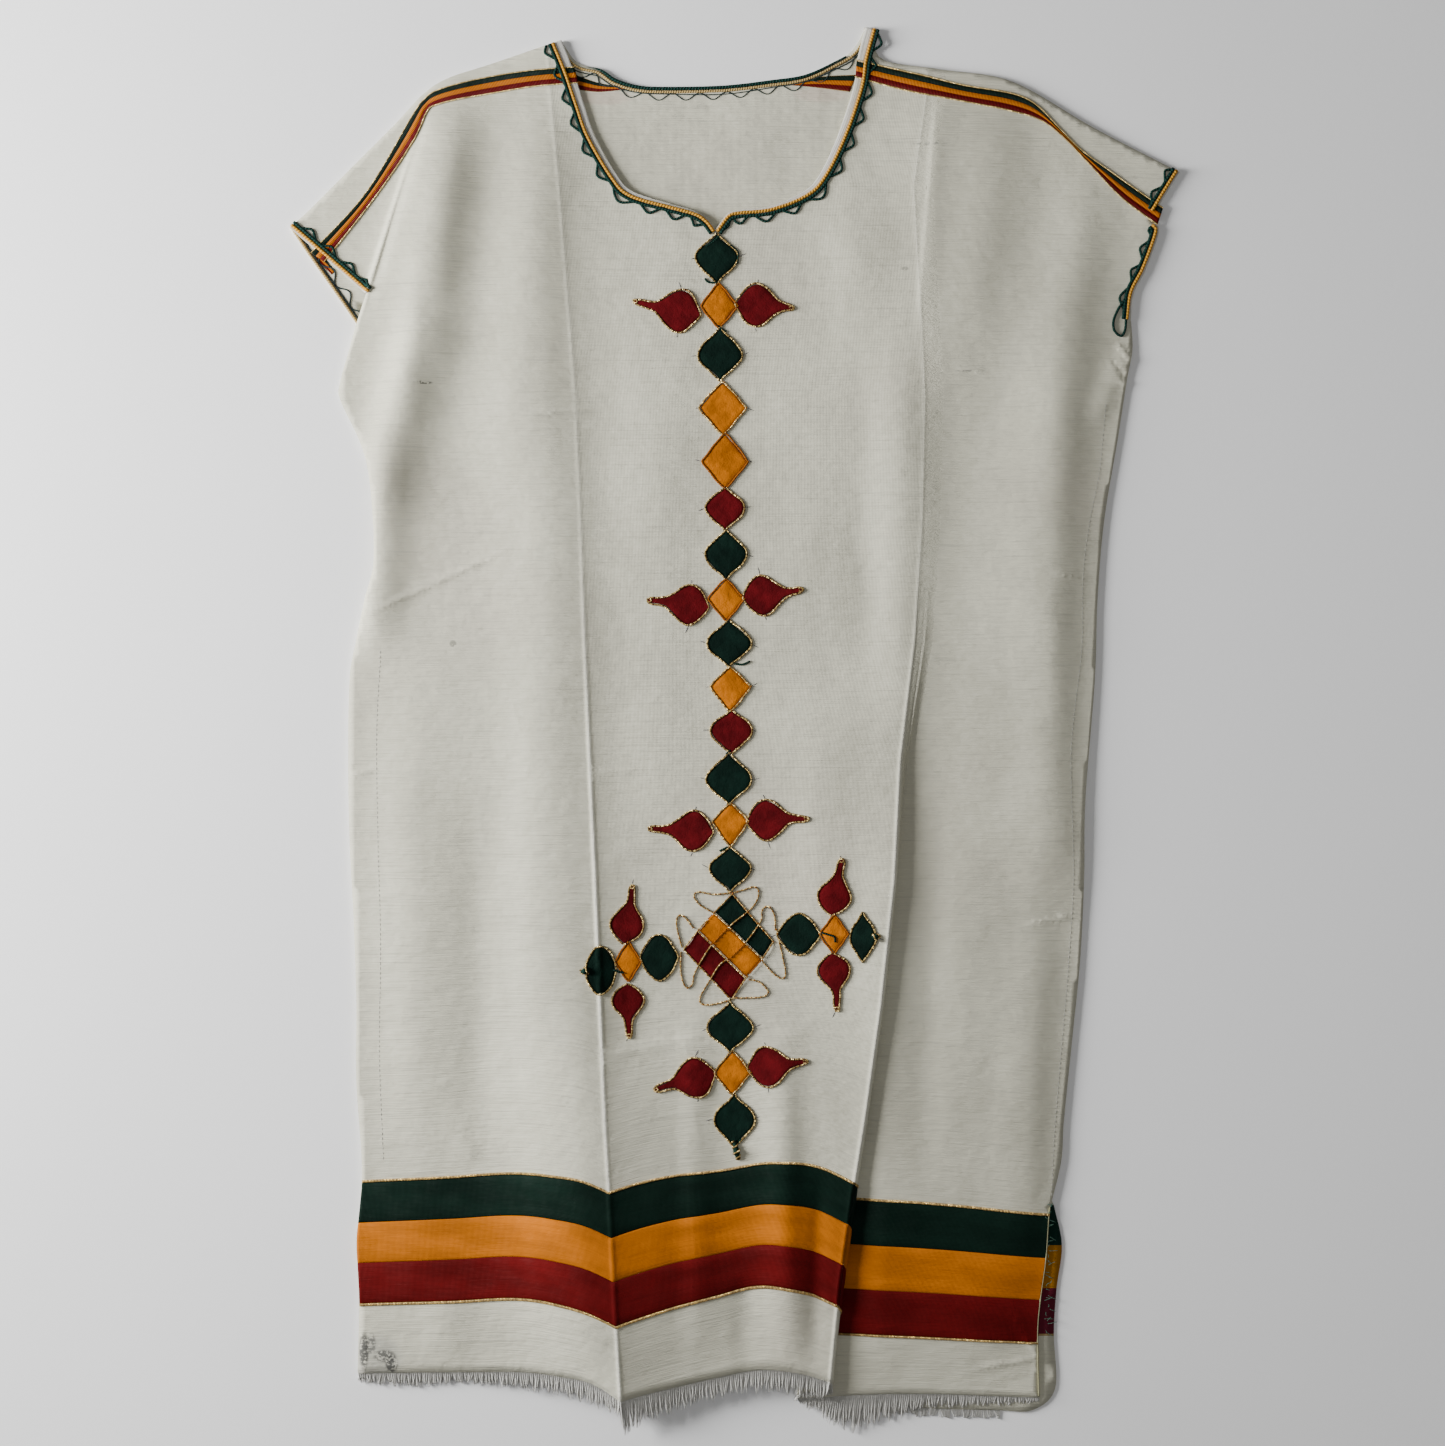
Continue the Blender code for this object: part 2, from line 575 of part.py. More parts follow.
def charted_front():
    """Triangles of the front on its chart, with the region that each belongs to."""
    outline = front_outline()
    made = regions()
    points = []
    rings = []
    for ring in [outline] + [ring for _, ring in made]:
        numbers = list(range(len(points), len(points) + len(ring)))
        rings.append(numbers if ring_area(ring) > 0 else numbers[::-1])
        points.extend(tuple(p) for p in ring)
    points.extend(tuple(p) for p in grid_points(outline, made))
    found = delaunay_2d_cdt([Vector(p) for p in points], [], rings, 1, MERGE, True)
    flat, _, faces, _, _, sources = found
    flat = np.array([(p.x, p.y) for p in flat])
    kept = []
    members = {name: [] for name, _ in made}
    for face, source in zip(faces, sources):
        if 0 not in source or len(face) != 3:
            continue
        a, b, c = (flat[i] for i in face)
        area = (b[0] - a[0]) * (c[1] - a[1]) - (b[1] - a[1]) * (c[0] - a[0])
        if abs(area) < 1e-3:
            continue
        face = list(face) if area > 0 else list(face)[::-1]
        owners = [made[i - 1][0] for i in source if i > 0]
        if owners:
            first = sorted(owners, key=[name for name, _ in made].index)[0]
            members[first].append(len(kept))
        kept.append(face)
    return flat, np.array(kept), members


def vertex_normals(points, faces):
    """Unit normals of the points, from the triangles round each."""
    a, b, c = (points[faces[:, i]] for i in range(3))
    normals = np.zeros_like(points)
    for here, before, after in ((0, 2, 1), (1, 0, 2), (2, 1, 0)):
        p = points[faces[:, here]]
        u = points[faces[:, after]] - p
        v = points[faces[:, before]] - p
        cosine = (u * v).sum(axis=1) / np.maximum(np.linalg.norm(u, axis=1) * np.linalg.norm(v, axis=1), 1e-12)
        angle = np.arccos(np.clip(cosine, -1.0, 1.0))
        face_normal = np.cross(b - a, c - a)
        face_normal /= np.maximum(np.linalg.norm(face_normal, axis=1), 1e-12)[:, None]
        np.add.at(normals, faces[:, here], face_normal * angle[:, None])
    return normals / np.maximum(np.linalg.norm(normals, axis=1), 1e-12)[:, None]


def rim(faces):
    """Edges that only one triangle uses, in that triangle's direction."""
    used = {(int(f[i]), int(f[(i + 1) % 3])) for f in faces for i in range(3)}
    return [edge for edge in sorted(used) if (edge[1], edge[0]) not in used]


def wall(points, normals, faces, low, high):
    """Closed wall between two levels along the normals of a sheet."""
    count = len(points)
    both = np.vstack((points + normals * high, points + normals * low))
    shell = [list(map(int, f)) for f in faces]
    shell += [[int(i) + count for i in f][::-1] for f in faces]
    for start, end in rim(faces):
        shell.append([end, start, start + count])
        shell.append([end, start + count, end + count])
    return both, shell


def trimmed(points, normals, faces, inset):
    """The sheet with its rim drawn in, so that neighbours lie a seam apart."""
    moved = points.copy()
    pulls = {}
    for start, end in rim(faces):
        run = points[end] - points[start]
        for corner in (start, end):
            inward = np.cross(normals[corner], run)
            inward /= max(np.linalg.norm(inward), 1e-9)
            pulls.setdefault(corner, []).append(inward)
    for corner, found in pulls.items():
        middle = np.sum(found, axis=0)
        length = np.linalg.norm(middle) / len(found)
        if length > 1e-6:
            moved[corner] += middle / np.linalg.norm(middle) * inset / max(length, SHARPEST)
    return moved


def skin(name, colour, sheet, members, low, thickness):
    """A piece that lies on the sheet, made from the sheet's own points moved out."""
    points, normals, faces = sheet
    chosen = faces[members]
    used = np.unique(chosen)
    place = np.full(len(points), -1)
    place[used] = np.arange(len(used))
    own = place[chosen]
    drawn_in = trimmed(points[used], normals[used], own, SEAM_SIDE)
    add_object(name, colour, *wall(drawn_in, normals[used], own, low, low + thickness))


def build_front():
    """The front panel with its bands, tapes, trims and patches."""
    flat, faces, members = charted_front()
    points = lay_front(flat[:, 0] / CHART, flat[:, 1])
    used = np.unique(faces)
    place = np.full(len(points), -1)
    place[used] = np.arange(len(used))
    points, faces = points[used], place[faces]
    normals = vertex_normals(points, faces)
    sheet = (points, normals, faces)
    add_object("front_panel", "cotton", *wall(points, normals, faces, -HALF, HALF))
    on_cloth = HALF + GAP
    for region, name, colour in LAID_ON:
        skin(name, colour, sheet, members[region], on_cloth, RIBBON)
    for name, colour, _ in patch_list():
        skin(name, colour, sheet, members[name], on_cloth, PATCH)


def build_back():
    """The back panel, flat on the surface."""
    runs = (SIDE_LEFT[:-1][::-1], CUFF_LEFT_BACK[::-1], SHOULDER_LEFT[::-1], NECK_BACK, SHOULDER_RIGHT[::-1],
            CUFF_RIGHT[::-1], SIDE_RIGHT[::-1], SLIT_BACK[::-1])
    line = []
    for run, step in zip(runs, BACK_STEPS):
        line.extend(curve(run, step)[:-1])
    line = [p for p in line if p[1] > HEM_BACK[0][1] + 1.0 or p[0] > HEM_BACK[-1][0] + 1.0]
    line.extend(curve(HEM_BACK, HEM_STEP)[::-1])
    outline = [Vector((float(p[0]), float(p[1]))) for p in line[::-1]]
    ring = list(range(len(outline)))
    flat, _, faces, _, _, sources = delaunay_2d_cdt(outline, [], [ring], 1, MERGE, True)
    points = np.array([(p.x, p.y, BACK_MIDDLE) for p in flat])
    kept = []
    for face, source in zip(faces, sources):
        if not source:
            continue
        a, b, c = (points[i] for i in face)
        turned = (b[0] - a[0]) * (c[1] - a[1]) - (b[1] - a[1]) * (c[0] - a[0])
        kept.append(list(face) if turned > 0 else list(face)[::-1])
    normals = np.tile((0.0, 0.0, 1.0), (len(points), 1))
    add_object("back_panel", "cotton", *wall(points, normals, np.array(kept), -HALF, HALF))


def fringe(name, edge, up, down, lengths, lowest):
    """Frayed threads whose roots are fused into a strip just past the cloth's edge.

    edge holds the strip's points from left to right, up the way out of the cloth's face at each and down the
    way that the threads hang. No thread sinks below the lowest height.
    """
    count = len(edge)
    strands = roomy(edge)
    rings = []
    for along in (GAP, GAP + STRIP_DEPTH):
        middle = edge + down * along
        rings.append((middle + up * STRIP_HALF, middle - up * STRIP_HALF))
    points = np.vstack((rings[0][0], rings[0][1], rings[1][0], rings[1][1]))
    top_near, top_far = range(0, count), range(2 * count, 3 * count)
    foot_near, foot_far = range(count, 2 * count), range(3 * count, 4 * count)
    faces = []
    extra = []
    total = len(points)
    for i in range(count - 1):
        a, b = i, i + 1
        faces += [[top_far[a], top_far[b], top_near[b]], [top_far[a], top_near[b], top_near[a]]]
        faces += [[foot_near[a], foot_near[b], foot_far[b]], [foot_near[a], foot_far[b], foot_far[a]]]
        faces += [[top_near[a], top_near[b], foot_near[b]], [top_near[a], foot_near[b], foot_near[a]]]
        faces.append([foot_far[b], top_far[b], top_far[a]])
        root = [foot_far[a], foot_far[b], top_far[a]]
        if i not in strands:
            faces.append(root)
            continue
        last = root
        base = points[root].mean(axis=0)
        for share, size in STRAND_RINGS:
            sway = STRAND_SWAY * math.sin(2.4 * i + 3.0 * share)
            centre = base + down[i] * lengths[i] * share + np.array((sway, 0.0, 0.0))
            centre[2] = max(lowest, base[2] - STRAND_DROP * share)
            ring = centre + (points[root] - base) * np.array((size, size, min(1.0, size + 0.3)))
            new = [total + len(extra) + k for k in range(3)]
            extra.extend(ring)
            for k in range(3):
                n = (k + 1) % 3
                faces.append([last[k], last[n], new[n]])
                faces.append([last[k], new[n], new[k]])
            last = new
        faces.append(last)
    first, end = 0, count - 1
    faces += [[top_near[first], foot_near[first], foot_far[first]]]
    faces += [[top_near[first], foot_far[first], top_far[first]]]
    faces += [[top_near[end], foot_far[end], foot_near[end]]]
    faces += [[top_near[end], top_far[end], foot_far[end]]]
    points = np.vstack((points, np.array(extra)))
    add_object(name, "cotton", points, faces)


def in_steps(points, *others):
    """Points along straight edges about a strand's pitch apart, with the other rows that go with them."""
    rows = [[] for _ in range(1 + len(others))]
    lengths = np.linalg.norm(np.diff(points, axis=0), axis=1)
    for i, length in enumerate(lengths):
        count = max(1, int(round(length / STRAND_PITCH)))
        for k in range(count):
            for row, values in zip(rows, (points, *others)):
                row.append(values[i] + (values[i + 1] - values[i]) * k / count)
    for row, values in zip(rows, (points, *others)):
        row.append(values[-1])
    return [np.array(row) for row in rows]


def roomy(edge):
    """Numbers of the gaps along an edge that are wide enough for a strand."""
    gaps = np.linalg.norm(np.diff(edge, axis=0), axis=1)
    return {i for i, gap in enumerate(gaps) if gap > STRAND_ROOM}


def build_fringes():
    """The frayed edges of the front and of the back."""
    outline = front_outline()
    first, last = outline[0, 0] / CHART, outline[-1, 0] / CHART
    margin = HEM_MARGIN / CHART
    inner = COLUMNS[(COLUMNS > first + margin) & (COLUMNS < last - margin)]
    stations = np.concatenate(((first,), inner, (last,)))
    levels = np.full_like(stations, HEM)
    edge = lay_front(stations, levels)
    down = edge - lay_front(stations, levels + 2.0)
    down /= np.linalg.norm(down, axis=1)[:, None]
    across = lay_front(stations + PROBE, levels) - lay_front(stations - PROBE, levels)
    up = np.cross(across, -down)
    up /= np.linalg.norm(up, axis=1)[:, None]
    edge, down, up, stations = in_steps(edge, down, up, stations)
    lengths = np.interp(stations, FRAY_FRONT[:, 0], FRAY_FRONT[:, 1])
    fringe("fringe_front", edge, up, down, lengths, STRAND_LOW)

    line = curve(HEM_BACK, HEM_STEP)
    edge = in_steps(np.column_stack((line, np.full(len(line), BACK_MIDDLE + 0.1))))[0]
    down = np.tile((0.0, -1.0, 0.0), (len(edge), 1))
    up = np.tile((0.0, 0.0, 1.0), (len(edge), 1))
    fringe("fringe_back", edge, up, down, np.full(len(edge), BACK_FRAY), STRAND_LOW_BACK)


def main():
    """Build the whole dress."""
    clear_scene()
    build_back()
    build_front()
    build_fringes()


main()
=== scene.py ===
"""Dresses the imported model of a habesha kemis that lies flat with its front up.

Tables are in millimetres on the laid dress: X across, Y up towards the neck. Each piece is brought to
metres and to the frame's centre as it is made.
"""

import logging
import math
from dataclasses import dataclass, field
from enum import Enum

import bpy
import numpy as np
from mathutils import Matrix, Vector
from mathutils.geometry import delaunay_2d_cdt


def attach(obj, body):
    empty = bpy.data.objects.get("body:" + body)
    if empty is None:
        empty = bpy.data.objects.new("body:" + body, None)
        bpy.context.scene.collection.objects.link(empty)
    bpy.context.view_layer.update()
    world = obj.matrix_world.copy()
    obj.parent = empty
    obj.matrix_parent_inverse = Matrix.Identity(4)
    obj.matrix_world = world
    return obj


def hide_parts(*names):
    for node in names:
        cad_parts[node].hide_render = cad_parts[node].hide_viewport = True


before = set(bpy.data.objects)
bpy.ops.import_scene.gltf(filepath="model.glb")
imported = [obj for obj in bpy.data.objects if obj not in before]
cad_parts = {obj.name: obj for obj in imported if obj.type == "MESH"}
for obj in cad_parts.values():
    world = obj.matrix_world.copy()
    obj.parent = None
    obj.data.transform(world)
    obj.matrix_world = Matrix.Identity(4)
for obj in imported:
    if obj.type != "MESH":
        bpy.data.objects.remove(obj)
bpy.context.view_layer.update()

Array = np.ndarray
Colour = tuple[float, float, float]
Socket = bpy.types.NodeSocket
Finish = bpy.types.Material
Thing = bpy.types.Object
LOG = logging.getLogger("kemis")

# Driving dimensions, in millimetres, as in the solids
MM = 0.001
WALL = 1.2
GAP = 0.3
RIBBON = 0.6
HALF = WALL / 2
ON_CLOTH = HALF + 0.1
BACK_TOP = WALL
FRONT_MIDDLE = WALL + GAP + HALF
CENTRE_SHIFT = (-1.0, -1.4)
UP = np.array((0.0, 0.0, 1.0))
HEM = -478.0
BAND_LEVELS = (-336.0, -366.0, -396.0, -426.0)
BACK_BAND_LEVELS = (-353.0, -383.0, -415.0, -449.0, -450.5)

# The pleat on the right: a turn under, a hidden stretch and a turn back
RIDGE_TURN = 1.6
VALLEY_TURN = 2.4
UNDERLAP = 22.0
PLEAT_STARTS = 180.0
PLEAT_SHUTS = -150.0
PLEAT_ZONE = 14.0
TURN_SHARE = 0.4
TENT_WIDTH = 75.0
CREASE_LEFT_WIDTH = 38.0
CREASE_RIGHT_WIDTH = 78.0
ARCH_FADE = 260.0
CHART = 200.0
CHART_ROUNDS = 8

# Cloth inside the edges stands a little off the back
LIFT = 3.0

# Above this height the cloth is pressed down: its rise e counts as e / (1 + e / the second value)
PRESSED_FROM = 14.5
PRESSED_BY = 38.0

# Pressed lip on the crease and on the ridge, and the levels between which it and its painted highlight fade
CREST = 1.1
CREST_WIDTH = 1.5
CREST_FADES = (-120.0, 200.0)

# Levels between which the folds of CLOTH_FOLDS come to their full height
FOLDS_FADE = (HEM - 60.0, HEM + 50.0)

# level, left side, left crease, right ridge, right side, height of the left crease
GUIDES = np.array((
    (-520, -279, -82, 71, 228, 13.0),
    (-478, -279, -83, 72, 228, 13.0),
    (-411, -279, -87, 79, 230, 11.5),
    (-340, -279, -91, 89, 238, 9.0),
    (-290, -279, -94, 97, 246, 7.2),
    (-204, -279, -98, 109, 255, 5.0),
    (-111, -279, -102, 119, 261, 3.4),
    (-22, -279, -106, 124, 264, 2.5),
    (68, -279, -110, 135, 271, 2.0),
    (157, -279, -113, 140, 276, 1.8),
    (248, -279, -117, 142, 290, 1.6),
    (313, -279, -122, 139, 298, 1.5),
    (404, -279, -129, 134, 299, 1.4),
    (476, -279, -136, 144, 300, 1.2),
    (540, -279, -140, 148, 300, 1.0),
), dtype=float)

# station across the dress, rise of the cloth at the bands' top, at their foot, at the hem
ARCHES = (
    np.array((
        (0.00, 0.0, 0.0, 0.0),
        (0.36, 4.0, 3.0, 1.0),
        (0.76, 7.5, 4.5, 0.0),
        (0.90, 4.0, -2.0, -5.0),
        (1.00, -4.0, -11.0, -16.5),
    )),
    np.array((
        (1.00, -4.0, -11.0, -16.5),
        (1.12, 2.0, -5.0, -12.0),
        (1.27, 7.0, 2.0, -7.0),
        (1.45, 10.0, 9.0, -1.0),
        (1.70, 16.5, 16.5, 5.0),
        (1.87, 12.0, 11.0, 2.0),
        (2.00, 1.0, 2.0, -4.0),
    )),
    np.array((
        (2.00, 1.0, 2.0, -4.0),
        (3.00, -11.0, -20.0, -18.0),
    )),
    np.array((
        (3.00, -11.0, -20.0, -18.0),
        (3.35, -13.5, -22.0, -15.0),
        (4.00, -25.0, -29.0, -18.0),
    )),
)

# from x, y to x, y, height, width on the left of the line, width on its right
SOFT_FOLDS = (
    (-232, 446, -285, 283, 5.0, 2.6, 34), (-207, 440, -252, 210, 3.2, 17, 20),
    (-140, 452, -174, 165, 2.6, 26, 26), (199, 462, 169, 225, 2.2, 22, 22),
    (263, 410, 236, 180, 2.0, 20, 20), (292, 284, 268, 228, 1.8, 8, 8),
    (-211, 80, -219, -320, 1.6, 34, 34), (188, 150, 173, -330, 2.0, 30, 30),
    (-48, 360, -60, 140, 1.4, 30, 30), (60, 330, 62, 60, 1.4, 34, 34),
)

# the same columns for the folds and creases that the solids don't have, with troughs as negative heights
CLOTH_FOLDS = (
    (-222, 330, -236, 250, -2.3, 12, 14), (-163, 232, -92, 241, 0.7, 2.2, 2.2),
    (-273, 86, -166, 135, 0.8, 2.0, 3.0), (-285, -33, -266, -29, 0.9, 2.0, 2.0),
    (-100, -29, -70, -29, 0.7, 2.0, 2.0), (237, 116, 268, 114, 0.9, 2.2, 2.2),
    (217, -144, 254, -137, 0.8, 2.2, 2.2), (165, 270, 188, 265, 0.7, 1.6, 2.4),
    (152, 470, 138, 300, 1.2, 3.0, 10), (88, 430, 110, 120, 3.1, 22, 30),
    (96, 300, 100, 40, -1.6, 12, 14), (285, 288, 297, 274, 1.2, 1.6, 2.0),
    (281, 277, 292, 262, -1.0, 1.8, 2.2), (284, 262, 296, 256, 0.9, 1.6, 2.0),
    (-246, 20, -238, -300, 2.3, 20, 22), (-190, -60, -186, -330, -2.1, 16, 18),
    (-150, 40, -148, -250, 1.6, 14, 20), (-215, -420, -211, -470, 1.8, 14, 18),
    (-30, -210, -26, -470, 1.8, 10, 14), (8, -400, 10, -478, -2.1, 10, 12),
    (38, -215, 40, -478, 2.3, 12, 12), (64, -330, 58, -478, -1.6, 6, 8),
    (-60, 250, -50, -60, 1.6, 26, 30), (62, 20, 66, -180, 1.8, 20, 26),
    (150, -60, 140, -330, -1.8, 14, 14), (206, -430, 228, -468, 0.9, 1.8, 2.6),
    (180, -474, 228, -466, 0.9, 2.0, 2.4), (-205, -300, -190, -318, 1.2, 6, 6),
    (-96, 120, -30, 108, 0.7, 5, 6), (-240, -120, -150, -136, 0.7, 6, 7),
    (140, 10, 240, -6, 0.7, 6, 8), (-60, -238, 60, -226, 0.7, 5, 7),
    (-228, 462, -271, 317, -2.0, 2.2, 5.0), (30, -250, 44, -478, 2.6, 20, 14),
    (-206, 480, -226, 290, 6.4, 26, 22), (-97, -240, -20, -226, 0.9, 4, 5),
    (-222, 320, -273, 165, 9.6, 16, 24), (-257, 210, -268, 55, 8.4, 12, 20),
    (-152, 480, -138, 150, 4.2, 34, 27), (-141, 230, -128, -200, 6.2, 36, 30),
    (-130, -120, -114, -478, 6.0, 36, 32), (-92, -230, -84, -500, 7.0, 26, 56),
    (-120, -190, -110, -540, 7.0, 44, 22), (132, 330, 124, 0, 4.8, 22, 30),
    (150, 500, 158, 250, 4.6, 30, 50), (238, 350, 230, 60, 5.6, 36, 24),
    (232, 110, 240, -130, 5.0, 36, 22), (120, -60, 112, -500, 4.6, 20, 70),
    (226, -140, 214, -420, 2.6, 24, 16),
)

# Outlines on the laid dress, x and y of the points that their shape needs
SHOULDER_LEFT = (
    (-128, 514), (-178, 497), (-211, 486), (-230, 474), (-251, 452), (-284, 419), (-317, 386), (-330, 375),
)
CUFF_LEFT = ((-330, 375), (-301, 350), (-272, 325))
CUFF_LEFT_BACK = (
    (-330, 375), (-316, 354), (-297, 327), (-279, 301),
)
SIDE_LEFT = (
    (-272, 325), (-282, 295), (-292, 260), (-292, 247), (-278, 217), (-269, 187), (-266, 128), (-273, 98),
    (-280, 68), (-285, 38), (-286, -22), (-285, -81), (-282, -141), (-280, -201), (-280, -260),
    (-276, -320), (-277, -350), (-280, -380), (-278, -424), (-279, -478),
)
SLIT_FRONT = ((228, -495), (227, -449), (229, -423), (233, -393), (235, -363), (236, -354))
SLIT_BACK = (
    (199, -506), (223, -506), (240, -490), (239, -449), (241, -416), (245, -383), (239, -353),
)
SIDE_RIGHT = (
    (236, -354), (244, -320), (246, -290), (252, -231), (258, -171), (261, -111), (262, -51), (269, 38),
    (271, 98), (276, 157), (286, 217), (293, 262), (297, 284), (296, 305),
)
CUFF_RIGHT = (
    (296, 305), (298, 326), (307, 344), (316, 372), (311, 380), (313, 385), (322, 400), (332, 416),
)
SHOULDER_RIGHT = (
    (332, 416), (270, 448), (208, 483), (154, 492), (113, 499), (104, 512), (99, 524),
)
NECK_RIGHT = (
    (99, 524), (93, 500), (90, 479), (78, 442), (65, 414), (53, 401), (28, 390), (5, 387), (-4, 384),
    (-13, 372),
)
NECK_LEFT = (
    (-13, 372), (-19, 380), (-28, 386), (-48, 392), (-75, 401), (-87, 414), (-103, 443), (-111, 466),
    (-119, 491), (-128, 514),
)
NECK_BACK = (
    (-128, 514), (-116, 498), (-99, 493), (-87, 485), (-70, 480), (-48, 479), (-7, 480), (28, 484),
    (53, 488), (75, 498), (89, 507), (99, 524),
)
HEM_BACK = ((-278, -462), (-99, -468), (35, -474), (87, -497), (140, -504), (199, -506))

# Upper and lower edges of the woven tapes along the shoulders
TAPE_LEFT = (
    (
        (-118, 494), (-154, 491), (-190, 485), (-221, 476), (-230, 469), (-237, 460), (-273, 401),
        (-314, 356),
    ),
    (
        (-115, 482), (-154, 478), (-199, 470), (-225, 463), (-228, 458), (-237, 438), (-266, 397),
        (-304, 349),
    ),
)
TAPE_RIGHT = (
    (
        (92, 499), (134, 489), (170, 480), (207, 474), (225, 466), (242, 449), (260, 431), (288, 411),
        (320, 389),
    ),
    (
        (91, 487), (134, 475), (170, 468), (207, 461), (230, 454), (248, 440), (263, 424), (288, 398),
        (316, 377),
    ),
)

# colour, x, top, sides' level, foot, width, hollow of the flanks
COLUMN = (
    ("green", -12, 367.5, 352, 333.5, 31, 1.5),
    ("yellow", -10.5, 330.5, 315.5, 301.5, 26, 1.0),
    ("green", -9.5, 298.5, 279, 262, 32, 1.5),
    ("yellow", -7.5, 257, 240, 222, 34, 1.1),
    ("yellow", -6, 218.5, 200, 182, 33.5, 1.0),
    ("red", -6, 179, 166, 151.5, 28, 1.2),
    ("green", -5, 148, 131, 114.5, 30, 1.4),
    ("yellow", -5, 110.5, 98, 84, 26, 1.0),
    ("green", -3, 81, 65, 49.5, 32, 1.4),
    ("yellow", -2, 45.5, 33, 17, 29.5, 1.0),
    ("red", -1, 13.5, 1, -15, 30, 1.2),
    ("green", -3, -18, -36, -53, 33, 1.5),
    ("yellow", -2, -55.5, -67, -83.5, 25.5, 1.0),
    ("green", -2, -87, -102, -117, 30, 1.5),
    ("green", -2, -202.5, -220, -236, 33, 1.5),
    ("yellow", -0.5, -239.5, -253, -267, 26.5, 1.0),
    ("green", 1, -270.5, -287, -307, 29.5, 1.5),
)

# name, x and y of the round part, x and y of the tail's root, width, x and y where the tail ends
DROPS = (
    ("02_left", -42, 312, -58, 315, 31, -73, 319),
    ("02_right", 20, 316, 36, 315, 31, 44, 314),
    ("08_left", -34.5, 94, -50, 96, 29, -62.5, 97),
    ("08_right", 24, 101, 39, 103, 29, 51, 105),
    ("13_left", -31.5, -74, -47.5, -73, 29, -62, -72.5),
    ("13_right", 27, -66, 42.5, -65, 29, 55, -65),
    ("16_left", -29.5, -257, -45, -261, 29, -57.5, -265),
    ("16_right", 27.5, -248, 43, -246, 29, 54, -244.5),
    ("cross_left_up", -78.5, -143.5, -76, -127, 24, -74.5, -115),
    ("cross_left_down", -78, -200.5, -77.5, -214, 23, -77, -226),
    ("cross_right_up", 75, -122.5, 78, -106.5, 24, 80.5, -95.5),
    ("cross_right_down", 75, -177.5, 76.5, -192.5, 23, 77, -206),
)

# name, colour, x, y, width, height, hollow of the flanks
CROSS_PARTS = (
    ("cross_left_heart", "yellow", -77.5, -171, 18, 25, 1.0),
    ("cross_left_inner", "green", -54.5, -168, 24, 33, 0.8),
    ("cross_left_outer", "green", -98, -177, 18, 34, 0.55),
    ("cross_right_heart", "yellow", 75, -150, 20, 24, 1.0),
    ("cross_right_inner", "green", 49, -150.5, 28, 30, 0.95),
    ("cross_right_outer", "green", 96, -152.5, 18, 33, 1.3),
)

# colour, the four corners of each stripe of the large diamond
STRIPES = (
    ("green", ((-13.4, -134.3), (-0.7, -121.5), (29.1, -155.9), (21.6, -168.0))),
    ("yellow", ((-25.4, -147.7), (-14.2, -135.4), (20.9, -169.0), (9.7, -182.4))),
    ("red", ((-35.8, -162.0), (-26.3, -148.6), (9.0, -183.5), (-1.5, -198.6))),
)

# Half width of a drop, as a share of its width, against the share of its length without the tail
DROP_SHAPE = (
    (0.0, 0.0), (0.07, 0.15), (0.24, 0.40), (0.43, 0.5), (0.62, 0.43), (0.8, 0.26), (0.93, 0.14), (1.0, 0.1),
)

# How far the tips of the felt diamonds reach past the solids' tips, to touch their neighbours
TIP_REACH = 1.7

# Gold threads laid by hand over the large diamond and in loops past its edges
DIAMOND_THREADS = (
    ((-2, -120), (-15, -121), (-25.7, -119.2), (-29, -122.6), (-24.2, -129.1), (-14.4, -134.8)),
    (
        (0, -120), (7.8, -117.7), (16.2, -115.4), (19.2, -120), (16.2, -128.4), (9.3, -135.2),
        (-1.3, -143.6), (-16.6, -159.6), (-28, -178.6), (-30.3, -187.8), (-34.8, -190), (-38.6, -180),
        (-38.6, -163.4),
    ),
    (
        (31.4, -147.4), (30.6, -136), (26.1, -129.9), (21.5, -132.9), (20.7, -140.6), (10.1, -155.8),
        (-1, -167), (-9.7, -173), (-18.1, -186.2), (-24.2, -196.9), (-23.4, -202.2), (-15, -202.5),
        (-1.3, -199.2),
    ),
    (
        (32.2, -146.7), (35.2, -160.4), (39, -178.6), (36.7, -183.2), (30.6, -180.1), (22.3, -171),
        (21.5, -166.4),
    ),
    ((12.4, -184), (20, -186.2), (26.1, -193.1), (21.5, -196.9), (7.8, -197.7), (-0.6, -197.7)),
    ((-29.5, -145.9), (-36.3, -137.5), (-40.9, -137.5), (-41.7, -145.1), (-37.9, -160.4)),
    ((-14.2, -134.8), (-2, -146), (10, -158), (21.6, -168.6)),
    ((-26.2, -148), (-14, -160), (-2, -172), (9.4, -183)),
    ((-0.4, -120.5), (-13.8, -134.4), (-25.8, -147.6), (-36.6, -162)),
    ((-0.2, -120.8), (14, -137.6), (29.8, -155.6)),
    ((30, -156), (21.6, -168.8), (9.6, -183.2), (-1.2, -199.4)),
    ((-36.4, -162.2), (-19, -180.6), (-1.4, -199.2)),
)

# station across the dress, length of the frayed threads
FRAY_FRONT = np.array((
    (0.00, 9), (0.20, 13), (0.40, 10), (0.60, 15), (0.75, 17), (0.92, 20), (0.98, 13), (1.02, 31), (1.10, 24),
    (1.35, 19), (1.55, 17), (1.75, 19), (1.98, 17), (2.02, 8), (3.00, 6), (3.09, 15), (3.14, 26), (3.26, 30),
    (3.40, 21), (3.52, 14), (4.00, 6),
), dtype=float)
BACK_FRAY = 8.0

# share of the way from the shoulder to the neck's point, distance of the yellow cord from the edge
NECK_INSET = ((0.0, 6.5), (0.35, 5.5), (0.6, 4.0), (0.8, 2.4), (1.0, 1.6))
CORD_PITCH = 2.7
WAVE_PERIOD = 19.5
WAVE_SWING = 3.0

